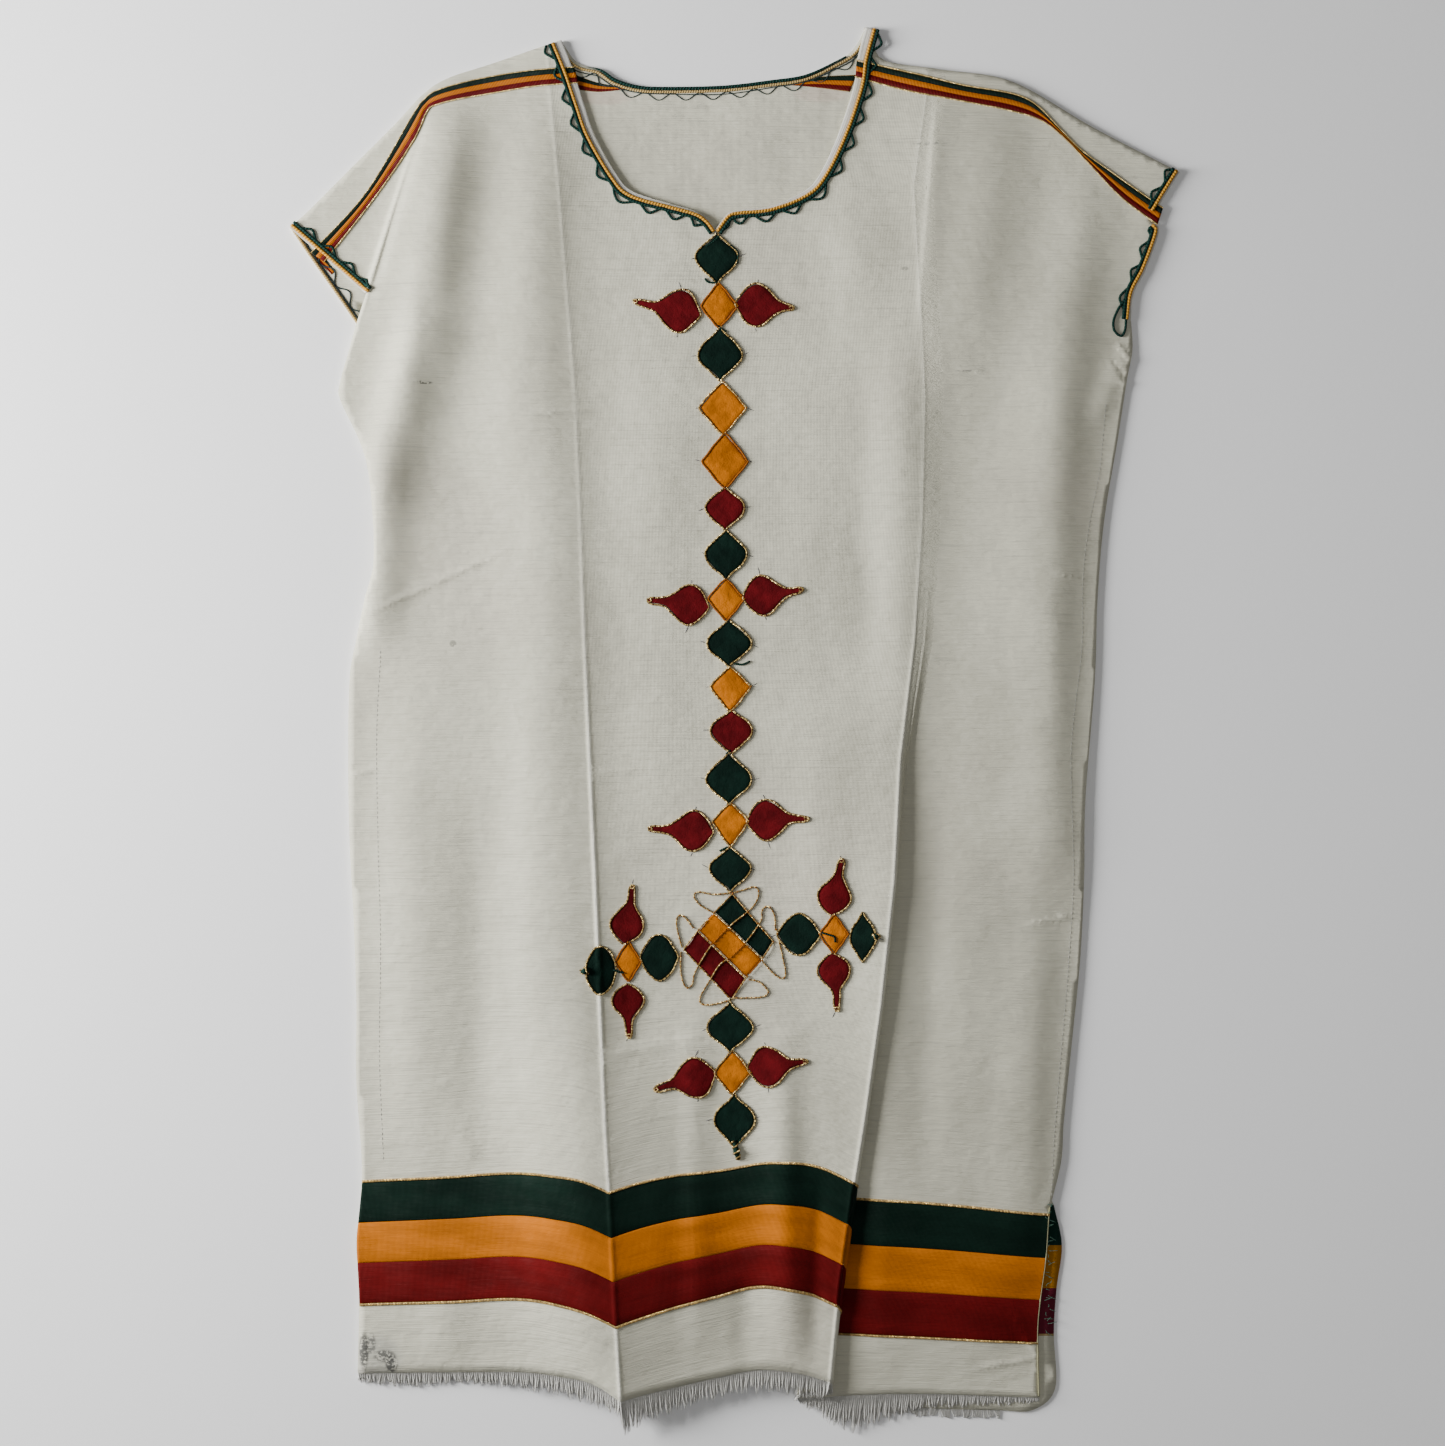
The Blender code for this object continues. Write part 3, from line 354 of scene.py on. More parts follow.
# The two stretches of trim on the right cuff, and the loop that the wavy cord makes at its lower end
CUFF_RIGHT_TRIMS = (
    ((332, 416), (322, 400), (313.5, 386)),
    ((314, 378), (316.5, 371), (307, 344), (298, 326), (295, 306)),
)
CUFF_LOOP = (
    (291.7, 321.5), (286.5, 314.1), (282.7, 305.1), (283.5, 297.7), (288.7, 293.9), (291.7, 299.1),
    (292.4, 310.3), (293.0, 322),
)

# The ends of the tapes on the inside of the back: upper and lower edge
TAPE_ENDS = (
    (((-118, 489), (-100, 483), (-80, 479.5)), ((-118, 478), (-100, 476), (-80, 478))),
    (((46, 482), (66, 487.5), (92, 489)), ((44, 481), (64, 479), (87, 476))),
    (((-308, 356), (-302, 350), (-296, 343)), ((-311, 352), (-305, 346), (-299, 340))),
)

# Short ends of green yarn between the patches
YARN_ENDS = (
    ((-21, 336), (-18, 333.2), (-12, 333)), ((-2, 361), (3.6, 355.5), (3.2, 347)), ((-12, 301), (-5, 296.5)),
    ((1, 50), (7, 49.4), (12.5, 51.8)), ((-10, 368), (-15, 363), (-20, 360)),
    ((66, -149), (71, -150.5), (75, -152), (75.6, -156)), ((-89, -176.5), (-85, -178), (-81, -178.8)),
    ((-10, -89), (-4, -86)), ((3, -306), (6, -302)), ((-5, -17), (-2, -14)),
)

# x and y of the root and of the tip of the cords at the outer tips of three green patches
KNOTS = ((-107.5, -177, -112, -177.5), (104, -152, 107, -151.4), (1.5, -306, 3.7, -316))

# Stitched lines of the side seams
SEAM_RIGHT = (
    (277, 243), (273, 196), (265, 155), (260, 115), (259, 60), (251, -14), (253, -110), (249, -181),
    (245, -228), (239, -300), (237, -347),
)
SEAM_LEFT = (
    (-262, 60), (-265, 0), (-264, -80), (-262, -160), (-263, -240), (-260, -320),
)


class Dye(Enum):
    """The three colours of the bands and patches."""

    GREEN = "green"
    YELLOW = "yellow"
    RED = "red"


RIBBON_COLOURS: dict[Dye, Colour] = {
    Dye.GREEN: (0.0, 0.0105, 0.0055),
    Dye.YELLOW: (0.49, 0.135, 0.0),
    Dye.RED: (0.105, 0.0, 0.0006),
}
PATCH_COLOURS: dict[Dye, Colour] = {
    Dye.GREEN: (0.0, 0.0095, 0.0055),
    Dye.YELLOW: (0.46, 0.13, 0.0),
    Dye.RED: (0.088, 0.0, 0.0022),
}


def smooth_step(low: float, high: float, value: Array) -> Array:
    """Rise of each value from 0 at low to 1 at high with level ends: 3t squared less 2t cubed."""
    t = np.clip((value - low) / (high - low), 0.0, 1.0)
    return t * t * (3.0 - 2.0 * t)


def unit(vectors: Array) -> Array:
    """Rows of vectors divided by their own lengths."""
    return vectors / np.maximum(np.linalg.norm(vectors, axis=-1, keepdims=True), 1e-12)


def shade_of(colour: Colour, share: float, more: float = 0.0) -> Colour:
    """The colour times a share, plus a little, held at 1."""
    return tuple(min(1.0, channel * share + more) for channel in colour)


def curve(points: tuple, step: float) -> Array:
    """Smooth line through points: a Catmull-Rom cubic between each pair, a step or so between its points.

    Args:
        points: Rows of x and y.
        step: Distance between the line's points.

    Returns:
        Rows of x and y along the line.
    """
    p = np.asarray(points, dtype=float)
    ends = np.vstack((2 * p[0] - p[1], p, 2 * p[-1] - p[-2]))
    parts = [p[:1]]
    for a, b, c, d in zip(ends, ends[1:], ends[2:], ends[3:]):
        count = max(1, int(round(np.linalg.norm(c - b) / step)))
        t = (np.arange(1, count + 1) / count)[:, None]
        cubic = (3 * b - a - 3 * c + d) * t**3
        parts.append(0.5 * (2 * b + (c - a) * t + (2 * a - 5 * b + 4 * c - d) * t**2 + cubic))
    return np.vstack(parts)


def run_of(line: Array) -> Array:
    """Distance along a line at each of its points, from 0."""
    return np.concatenate(((0.0,), np.cumsum(np.linalg.norm(np.diff(line, axis=0), axis=1))))


def evenly(line: Array, count: int) -> Array:
    """The line with its points shared out evenly along its length.

    Args:
        line: Rows of coordinates.
        count: Number of points wanted.

    Returns:
        That many rows along the same line.
    """
    run = run_of(line)
    wanted = np.linspace(0.0, run[-1], count)
    return np.stack([np.interp(wanted, run, line[:, k]) for k in range(line.shape[1])], axis=-1)


def beside(line: Array, distance: Array | float) -> Array:
    """The line moved to its right as it runs: each point plus the distance along the turned tangent.

    Args:
        line: Rows of x and y.
        distance: How far to move it, one value or one for each point.

    Returns:
        Rows of x and y.
    """
    tangent = unit(np.gradient(line, axis=0))
    aside = np.stack((tangent[:, 1], -tangent[:, 0]), axis=-1)
    return line + np.broadcast_to(np.asarray(distance, dtype=float), (len(line),))[:, None] * aside


def grid_faces(rows: int, columns: int, closed: bool = False) -> tuple[Array, Array]:
    """Quads of a grid of points, numbered row by row.

    Args:
        rows: Number of rows.
        columns: Number of columns.
        closed: Whether the last column joins the first.

    Returns:
        The quads, and the row and column of each corner, with the closing column counted on.
    """
    last = columns if closed else columns - 1
    r, c = np.meshgrid(np.arange(rows - 1), np.arange(last), indexing="ij")
    steps = ((0, 0), (1, 0), (1, 1), (0, 1))
    corners = np.stack([np.stack((r + i, c + j), -1) for i, j in steps], axis=2).reshape(-1, 4, 2)
    return corners[..., 0] * columns + corners[..., 1] % columns, corners


@dataclass
class Piece:
    """Mesh parts gathered into one object."""

    name: str
    points: list[Array] = field(default_factory=list)
    faces: list[list[int]] = field(default_factory=list)
    corners: list[Array] = field(default_factory=list)
    total: int = 0

    def add(self, points: Array, faces: Array, uv: Array) -> None:
        """Add points in millimetres and faces on them.

        Args:
            points: Rows of x, y and z.
            faces: Rows of point numbers, all of one length.
            uv: Cloth coordinates for each corner of each face, in metres.
        """
        self.points.append(points.reshape(-1, 3))
        self.faces.extend((faces + self.total).tolist())
        self.corners.append(np.asarray(uv, dtype=float).reshape(-1, 2))
        self.total += points.reshape(-1, 3).shape[0]

    def make(self, material: Finish, slot: str, nodes: tuple[str, ...]) -> Thing:
        """Put the piece into the scene at the frame's centre, in metres.

        Args:
            material: Its finish.
            slot: Not used.
            nodes: The solids that it stands for.

        Returns:
            The new object, riding on the root body.
        """
        place = (np.vstack(self.points) + np.array((*CENTRE_SHIFT, 0.0))) * MM
        mesh = bpy.data.meshes.new(self.name)
        mesh.from_pydata(place.tolist(), [], self.faces)
        layer = mesh.uv_layers.new(name="cloth")
        layer.data.foreach_set("uv", np.vstack(self.corners).astype(np.float32).ravel())
        mesh.polygons.foreach_set("use_smooth", np.ones(len(mesh.polygons), dtype=bool))
        mesh.materials.append(material)
        mesh.validate()
        mesh.update()
        made = bpy.data.objects.new(self.name, mesh)
        bpy.context.scene.collection.objects.link(made)
        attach(made, "root")
        if nodes:
            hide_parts(*nodes)
        LOG.info("%s: %d faces", self.name, len(self.faces))
        return made


def add_tubes(piece: Piece, paths: Array, up: Array, radius: Array | float, sides: int) -> None:
    """Add round tubes: a ring is its centre plus r times (cos a of the side plus sin a of the up vector).

    Args:
        piece: The piece that gets them.
        paths: Centres, shaped tubes by points by 3.
        up: Direction away from the cloth, shaped to broadcast against paths.
        radius: Radii, shaped to broadcast against tubes by points.
        sides: Number of sides round each tube.
    """
    count, length = paths.shape[:2]
    tangent = unit(np.gradient(paths, axis=1))
    side = unit(np.cross(tangent, np.broadcast_to(up, paths.shape)))
    rise = np.cross(side, tangent)
    turn = 2.0 * math.pi * np.arange(sides) / sides
    reach = np.broadcast_to(radius, (count, length))[:, :, None, None]
    ring = np.cos(turn)[:, None] * side[:, :, None, :] + np.sin(turn)[:, None] * rise[:, :, None, :]
    points = paths[:, :, None, :] + reach * ring
    faces, corners = grid_faces(length, sides, closed=True)
    start = (np.arange(count) * length * sides)[:, None, None]
    steps = np.linalg.norm(np.diff(paths, axis=1), axis=2)
    run = np.concatenate((np.zeros((count, 1)), np.cumsum(steps, axis=1)), axis=1) * MM
    along = run[:, corners[..., 0]]
    around = np.broadcast_to(corners[..., 1] / sides, along.shape)
    uv = np.stack((along, around), axis=-1)
    caps = np.arange(sides)
    base = piece.total
    piece.add(points, (faces[None] + start).reshape(-1, 4), uv)
    offset = (np.arange(count) * length * sides)[:, None] + base
    first = offset + caps[None]
    last = offset + (length - 1) * sides + caps[None, ::-1]
    ends = np.vstack((first, last))
    piece.faces.extend(ends.tolist())
    piece.corners.append(np.zeros((ends.size, 2)))


def add_cord(piece: Piece, path: Array, radius: Array | float, sides: int = 6) -> None:
    """Add one round cord along a path, with one radius or one for each point."""
    add_tubes(piece, path[None], UP, radius, sides)


class ClothSpace:
    """The laid front as a function of the station across it and the level along its threads."""

    @staticmethod
    def guides(level: Array) -> list[Array]:
        """Left side, crease, ridge, right side and crease height at a level, between the table's rows."""
        return [np.interp(level, GUIDES[:, 0], GUIDES[:, column]) for column in range(1, 6)]

    @staticmethod
    def eased(table: Array, column: int, station: Array) -> Array:
        """Cubic Hermite line through a table's rows, with slopes from their neighbours.

        Args:
            table: Rows that start with a station.
            column: The column to read.
            station: Where to read it.

        Returns:
            The values there.
        """
        x = table[:, 0]
        y = table[:, column]
        slope = np.gradient(y, x)
        i = np.clip(np.searchsorted(x, station) - 1, 0, len(x) - 2)
        step = x[i + 1] - x[i]
        t = np.clip((station - x[i]) / step, 0.0, 1.0)
        start = (2 * t**3 - 3 * t**2 + 1) * y[i] + (t**3 - 2 * t**2 + t) * step * slope[i]
        end = (3 * t**2 - 2 * t**3) * y[i + 1] + (t**3 - t**2) * step * slope[i + 1]
        return start + end

    def arch(self, station: Array, level: Array) -> Array:
        """Rise of a thread: table values at band top, band foot and hem, joined straight and faded above.

        Args:
            station: Stations across.
            level: Levels along.

        Returns:
            The rise in millimetres.
        """
        fade = 1.0 - smooth_step(BAND_LEVELS[0], BAND_LEVELS[0] + ARCH_FADE, level)
        if not fade.any():
            return np.zeros_like(station)
        rises = []
        for column in (1, 2, 3):
            rise = np.zeros_like(station)
            for table in ARCHES:
                inside = (station >= table[0, 0]) & (station <= table[-1, 0] + 1e-9)
                if inside.any():
                    rise = np.where(inside, self.eased(table, column, station), rise)
            rises.append(np.where(station > ARCHES[-1][-1, 0], ARCHES[-1][-1, column], rise))
        top, foot, hem = rises
        down_band = np.clip((BAND_LEVELS[0] - level) / (BAND_LEVELS[0] - BAND_LEVELS[-1]), 0.0, 1.0)
        down_hem = np.clip((BAND_LEVELS[-1] - level) / (BAND_LEVELS[-1] - HEM), 0.0, 1.0)
        return ((top + (foot - top) * down_band) + (hem - foot) * down_hem) * fade

    @staticmethod
    def pleat(level: Array) -> list[Array]:
        """How far the pleat is shut at a level.

        Args:
            level: Levels along.

        Returns:
            Angle of each turn, hidden width, open width, drop and sideways run.
        """
        shut = smooth_step(-PLEAT_STARTS, -PLEAT_SHUTS, -level)
        turn = math.pi * shut
        hidden = UNDERLAP * smooth_step(-PLEAT_SHUTS - 40.0, -BAND_LEVELS[0], -level)
        open_width = PLEAT_ZONE * (1.0 - shut)
        both = RIDGE_TURN + VALLEY_TURN
        drop = both * (1.0 - np.cos(turn)) + hidden * np.sin(turn)
        run = both * np.sin(turn) + hidden * np.cos(turn) + open_width
        return [turn, hidden, open_width, drop, run]

    @staticmethod
    def folds(x: Array, y: Array, table: tuple) -> Array:
        """Height of folds: each is a Gaussian across its line, faded at the line's two ends.

        Args:
            x: Places across.
            y: Places along.
            table: Rows of line, height and the width on each side.

        Returns:
            Their summed height in millimetres.
        """
        height = np.zeros_like(x)
        for x0, y0, x1, y1, rise, left_width, right_width in table:
            length = math.hypot(x1 - x0, y1 - y0)
            reach = 3.0 * max(left_width, right_width) + 0.12 * length
            if x.max() < min(x0, x1) - reach or x.min() > max(x0, x1) + reach:
                continue
            if y.max() < min(y0, y1) - reach or y.min() > max(y0, y1) + reach:
                continue
            along_x, along_y = (x1 - x0) / length, (y1 - y0) / length
            along = ((x - x0) * along_x + (y - y0) * along_y) / length
            across = (y - y0) * along_x - (x - x0) * along_y
            width = np.where(across > 0, right_width, left_width)
            ends = smooth_step(-0.12, 0.25, along) * (1.0 - smooth_step(0.7, 1.12, along))
            height = height + rise * ends * np.exp(-(across / width) ** 2)
        return height

    @staticmethod
    def lift(station: Array, level: Array) -> Array:
        """Distance that the cloth stands off the back: full inside, nothing at the edges."""
        across = smooth_step(0.0, 0.3, station) * (1.0 - smooth_step(3.7, 4.0, station))
        return LIFT * across * (1.0 - smooth_step(330.0, 480.0, level)) * smooth_step(HEM, HEM + 60.0, level)

    def lay(self, station: Array, level: Array) -> Array:
        """Middle of the front's wall: panels straight between the guides, two round turns in the pleat.

        Args:
            station: Stations across: 1 is the crease, 2 the ridge, 2 to 3 the pleat and 4 the right side.
            level: Levels along the threads.

        Returns:
            Rows of x, y and z in millimetres.
        """
        station = np.asarray(station, dtype=float)
        level = np.broadcast_to(np.asarray(level, dtype=float), station.shape)
        left, crease, ridge, right, rise = self.guides(level)
        turn, hidden, open_width, drop, run = self.pleat(level)
        y = level + self.arch(station, level)

        across_left = left + (crease - left) * station
        across_centre = crease + (ridge - crease) * (station - 1.0)
        k = np.clip(station - 2.0, 0.0, 1.0)
        past = k > 1.0 - TURN_SHARE
        first = turn * np.clip(k / TURN_SHARE, 0.0, 1.0)
        flat = np.clip((k - TURN_SHARE) / (1.0 - 2.0 * TURN_SHARE), 0.0, 1.0)
        second = turn * (1.0 - np.clip((k - 1.0 + TURN_SHARE) / TURN_SHARE, 0.0, 1.0))
        sideways = RIDGE_TURN * np.sin(first) + hidden * flat * np.cos(turn) + open_width * k
        sideways = sideways + np.where(past, VALLEY_TURN * (np.sin(turn) - np.sin(second)), 0.0)
        fallen = RIDGE_TURN * (1.0 - np.cos(first)) + hidden * flat * np.sin(turn)
        fallen = fallen + np.where(past, VALLEY_TURN * (np.cos(second) - np.cos(turn)), 0.0)
        across_right = ridge + run + (right - ridge - run) * (station - 3.0)

        x = np.where(station < 1.0, across_left, across_centre)
        x = np.where(station > 2.0, ridge + sideways, x)
        x = np.where(station > 3.0, across_right, x)

        from_ridge = np.clip(ridge - x, 0.0, None)
        tent = drop / (1.0 + (from_ridge / TENT_WIDTH) ** 2)
        tent = np.where(station > 2.0, drop - fallen, tent)
        from_crease = x - crease
        flank = np.where(from_crease < 0, CREASE_LEFT_WIDTH, CREASE_RIGHT_WIDTH)
        pressed = rise * np.exp(-np.abs(from_crease) / flank)
        z = FRONT_MIDDLE + tent + pressed + self.folds(x, y, SOFT_FOLDS)
        z = z + self.lift(station, level) + self.folds(x, y, CLOTH_FOLDS) * smooth_step(*FOLDS_FADE, level)
        open_ridge = np.where(station > 2.0, np.clip(1.0 - turn, 0.0, 1.0), 1.0)
        lip = CREST * (1.0 - 0.8 * smooth_step(*CREST_FADES, level))
        z = z + lip * np.exp(-(from_crease / CREST_WIDTH) ** 2)
        z = z + lip * open_ridge * np.exp(-((x - ridge) / CREST_WIDTH) ** 2)
        high = np.clip(z - PRESSED_FROM, 0.0, None)
        z = np.minimum(z, PRESSED_FROM) + high / (1.0 + high / PRESSED_BY)
        return np.stack((x, y, np.maximum(z, FRONT_MIDDLE)), axis=-1)

    def chart(self, place: Array) -> tuple[Array, Array]:
        """Station and level of places on the laid front, found by turns from the rise of the thread.

        Args:
            place: Rows of x and y.

        Returns:
            Stations and levels.
        """
        x, y = place[..., 0], place[..., 1]
        level = y.copy()
        station = np.zeros_like(x)
        for _ in range(CHART_ROUNDS):
            left, crease, ridge, right, _ = self.guides(level)
            _, _, open_width, _, run = self.pleat(level)
            in_left = (x - left) / (crease - left)
            in_centre = 1.0 + (x - crease) / (ridge - crease)
            in_zone = 2.0 + (x - ridge) / np.maximum(open_width, 1e-6)
            beyond = 3.0 + (x - ridge - run) / (right - ridge - run)
            station = np.where(x < crease, in_left, in_centre)
            past = np.where(x < ridge + np.minimum(open_width, run), in_zone, beyond)
            station = np.where(x > ridge, past, station)
            moved = y - self.arch(station, level)
            settled = np.abs(moved - level).max() < 1e-4
            level = moved
            if settled:
                break
        return station, level

    def normal(self, station: Array, level: Array) -> Array:
        """Unit normal of the front: the cross product of its steps across and along."""
        step = 0.8
        du = self.lay(station + step / CHART, level) - self.lay(station - step / CHART, level)
        dv = self.lay(station, level + step) - self.lay(station, level - step)
        return unit(np.cross(du, dv))

    def raised(self, station: Array, level: Array, height: Array | float) -> Array:
        """Points a height above the middle of the front's wall, along its normal, as rows of x, y and z."""
        station = np.asarray(station, dtype=float)
        level = np.broadcast_to(np.asarray(level, dtype=float), station.shape)
        lifted = np.broadcast_to(np.asarray(height, dtype=float), station.shape)
        return self.lay(station, level) + self.normal(station, level) * lifted[..., None]

    def over(self, place: Array, height: Array | float) -> Array:
        """Points a height above the places x and y of the laid front."""
        station, level = self.chart(place)
        return self.raised(station, level, height)


SPACE = ClothSpace()


def front_outline(step: float) -> Array:
    """Edge of the front on the chart, from the left of the hem round to its right.

    Args:
        step: Distance between its points.

    Returns:
        Rows of charted station and level.
    """
    runs = (SIDE_LEFT, CUFF_LEFT, SHOULDER_LEFT, NECK_LEFT, NECK_RIGHT, SHOULDER_RIGHT, CUFF_RIGHT,
            SIDE_RIGHT, SLIT_FRONT)
    parts = [curve(run[::-1], step)[:-1] for run in runs]
    line = np.vstack(parts + [np.array(SLIT_FRONT[:1], dtype=float)])
    station, level = SPACE.chart(line)
    level[0] = HEM
    level[-1] = HEM
    return np.stack((station * CHART, level), axis=-1)


def inside_with_margin(points: Array, outline: Array, margin: float) -> Array:
    """Whether points keep a margin from every edge of an outline.

    Args:
        points: Rows of two coordinates.
        outline: Closed ring in the same coordinates.
        margin: The distance to keep.

    Returns:
        True for each point that keeps it.
    """
    keep = np.ones(len(points), dtype=bool)
    run = np.roll(outline, -1, axis=0) - outline
    for start, edge in zip(outline, run):
        share = np.clip(((points - start) @ edge) / max(float(edge @ edge), 1e-12), 0.0, 1.0)
        gap = points - start - share[:, None] * edge
        keep &= (gap**2).sum(axis=1) > margin**2
    return keep


def meshed(outline: Array, inner: Array) -> tuple[Array, Array]:
    """Triangles inside an outline, on its own points and inner ones.

    Args:
        outline: Closed ring, anticlockwise.
        inner: More points, some of which may lie outside.

    Returns:
        The points and the triangles, anticlockwise.
    """
    points = [Vector(p) for p in np.vstack((outline, inner)).tolist()]
    found = delaunay_2d_cdt(points, [], [list(range(len(outline)))], 1, 1e-3, True)
    flat = np.array([tuple(p) for p in found[0]])
    kept = np.array([face for face, source in zip(found[2], found[5]) if source])
    a, b, c = (flat[kept[:, k]] for k in range(3))
    turned = (b[:, 0] - a[:, 0]) * (c[:, 1] - a[:, 1]) - (b[:, 1] - a[:, 1]) * (c[:, 0] - a[:, 0])
    kept[turned < 0] = kept[turned < 0][:, ::-1]
    return flat, kept[np.abs(turned) > 1e-6]


def ring_area(ring: Array) -> float:
    """Area inside a closed outline, positive where it runs anticlockwise."""
    x, y = ring[:, 0], ring[:, 1]
    return 0.5 * float((x * np.roll(y, -1) - np.roll(x, -1) * y).sum())


def add_shell(piece: Piece, middle: Array, normal: Array, faces: Array, uv: Array) -> float:
    """Add a cloth wall: both faces half a wall from its middle and a strip round every free edge.

    Args:
        piece: The piece that gets it.
        middle: Rows of x, y and z.
        normal: Unit normals there.
        faces: Triangles on them.
        uv: Cloth coordinates of the points, in metres.

    Returns:
        Area of the cloth in square metres.
    """
    count = len(middle)
    both = np.vstack((middle + normal * HALF, middle - normal * HALF))
    twice = np.vstack((uv, uv))
    edges = np.vstack((faces[:, (0, 1)], faces[:, (1, 2)], faces[:, (2, 0)]))
    key = np.sort(edges, axis=1) @ np.array((count, 1))
    _, index, times = np.unique(key, return_index=True, return_counts=True)
    free = edges[index[times == 1]]
    strip = np.stack((free[:, 1], free[:, 0], free[:, 0] + count, free[:, 1] + count), axis=1)
    shell = np.vstack((faces, faces[:, ::-1] + count))
    start = piece.total
    piece.add(both, shell, twice[shell])
    piece.faces.extend((strip + start).tolist())
    piece.corners.append(twice[strip].reshape(-1, 2))
    a, b, c = (middle[faces[:, k]] for k in range(3))
    return float(np.linalg.norm(np.cross(b - a, c - a), axis=1).sum() / 2) * MM * MM


class Graph:
    """Short hand for the nodes of one material."""

    def __init__(self, name: str) -> None:
        """Start a material with its shader and its two kinds of coordinates."""
        self.material = bpy.data.materials.new(name)
        self.material.use_nodes = True
        self.nodes = self.material.node_tree.nodes
        self.links = self.material.node_tree.links
        self.shader = self.nodes["Principled BSDF"]
        self.object = self.node("TexCoord").outputs["Object"]
        cloth = self.node("UVMap")
        cloth.uv_map = "cloth"
        self.cloth = cloth.outputs["UV"]

    def feed(self, socket: Socket, value) -> None:
        """Link a socket's value, or set it where it is a number or a colour."""
        if isinstance(value, Socket):
            self.links.new(value, socket)
        elif isinstance(value, tuple) and len(socket.default_value) == 4:
            socket.default_value = (*value, 1.0)
        else:
            socket.default_value = value

    def node(self, kind: str, **inputs) -> bpy.types.Node:
        """A new node of a kind with its named inputs linked or set."""
        made = self.nodes.new(f"ShaderNode{kind}")
        for name, value in inputs.items():
            self.feed(made.inputs[name], value)
        return made

    def across_and_along(self, vector) -> tuple[Socket, Socket]:
        """X and Y of coordinates."""
        node = self.node("SeparateXYZ", Vector=vector)
        return node.outputs["X"], node.outputs["Y"]

    def stretched(self, vector, scale: tuple, turn: float = 0.0, shift: tuple = (0, 0, 0)) -> Socket:
        """Coordinates scaled, turned and shifted by a Mapping node."""
        node = self.node("Mapping", Vector=vector, Scale=scale, Rotation=(0.0, 0.0, turn), Location=shift)
        return node.outputs["Vector"]

    def noise(self, vector, scale: float, detail: float = 2.0, rough: float = 0.5) -> Socket:
        """Noise between 0 and 1."""
        node = self.node("TexNoise", Vector=vector, Scale=scale, Detail=detail, Roughness=rough)
        return node.outputs["Fac"]

    def wave(self, vector, pitch: float, direction: str, wobble: float = 0.0) -> Socket:
        """Bands a pitch apart, in metres, along an axis."""
        scale = 2.0 * math.pi / (20.0 * pitch)
        node = self.node("TexWave", Vector=vector, Scale=scale, Distortion=wobble, Detail=1.0)
        node.bands_direction = direction
        return node.outputs["Fac"]

    def math(self, operation: str, first, second=0.0) -> Socket:
        """One step of arithmetic."""
        node = self.node("Math")
        node.operation = operation
        self.feed(node.inputs[0], first)
        self.feed(node.inputs[1], second)
        return node.outputs[0]

    def range(self, value, low: float, high: float, to_low: float, to_high: float) -> Socket:
        """A value brought smoothly from one range to another and held at its ends."""
        ends = {"From Min": low, "From Max": high, "To Min": to_low, "To Max": to_high}
        node = self.node("MapRange", Value=value, **ends)
        node.interpolation_type = "SMOOTHSTEP"
        return node.outputs["Result"]

    def mix(self, factor, first, second, blend: str = "MIX") -> Socket:
        """Two colours mixed by a factor."""
        node = self.node("Mix")
        node.data_type = "RGBA"
        node.blend_type = blend
        self.feed(node.inputs[0], factor)
        self.feed(node.inputs[6], first)
        self.feed(node.inputs[7], second)
        return node.outputs[2]

    def tinted(self, colour, value, low: float, high: float, share: float, tint: Colour) -> Socket:
        """A colour that takes a share of a tint where a value rises from low to high."""
        return self.mix(self.range(value, low, high, 0.0, share), colour, tint)

    def bump(self, height, distance: float, strength: float = 1.0, normal=None) -> Socket:
        """Bump of a height between 0 and 1 times a distance in metres."""
        under = {} if normal is None else {"Normal": normal}
        node = self.node("Bump", Strength=strength, Distance=distance, Height=height, **under)
        return node.outputs["Normal"]

    def finish(self, colour, roughness, normal, metallic: float = 0.0, sheen: float = 0.0,
               specular: float = 0.12) -> Finish:
        """Join colour, roughness and bump to the shader and give the material."""
        inputs = {
            "Base Color": colour, "Roughness": roughness, "Normal": normal, "Metallic": metallic,
            "Sheen Weight": sheen, "Sheen Roughness": 0.5, "Specular IOR Level": specular,
        }
        for name, value in inputs.items():
            self.feed(self.shader.inputs[name], value)
        self.material.diffuse_color = (*colour, 1.0) if isinstance(colour, tuple) else (0.6, 0.6, 0.55, 1.0)
        return self.material


@dataclass(frozen=True)
class Mark:
    """A soft stain on the cloth: place and size in millimetres, colour, strength and how broken it is."""

    x: float
    y: float
    wide: float
    high: float
    colour: Colour
    strength: float
    broken: float = 0.0


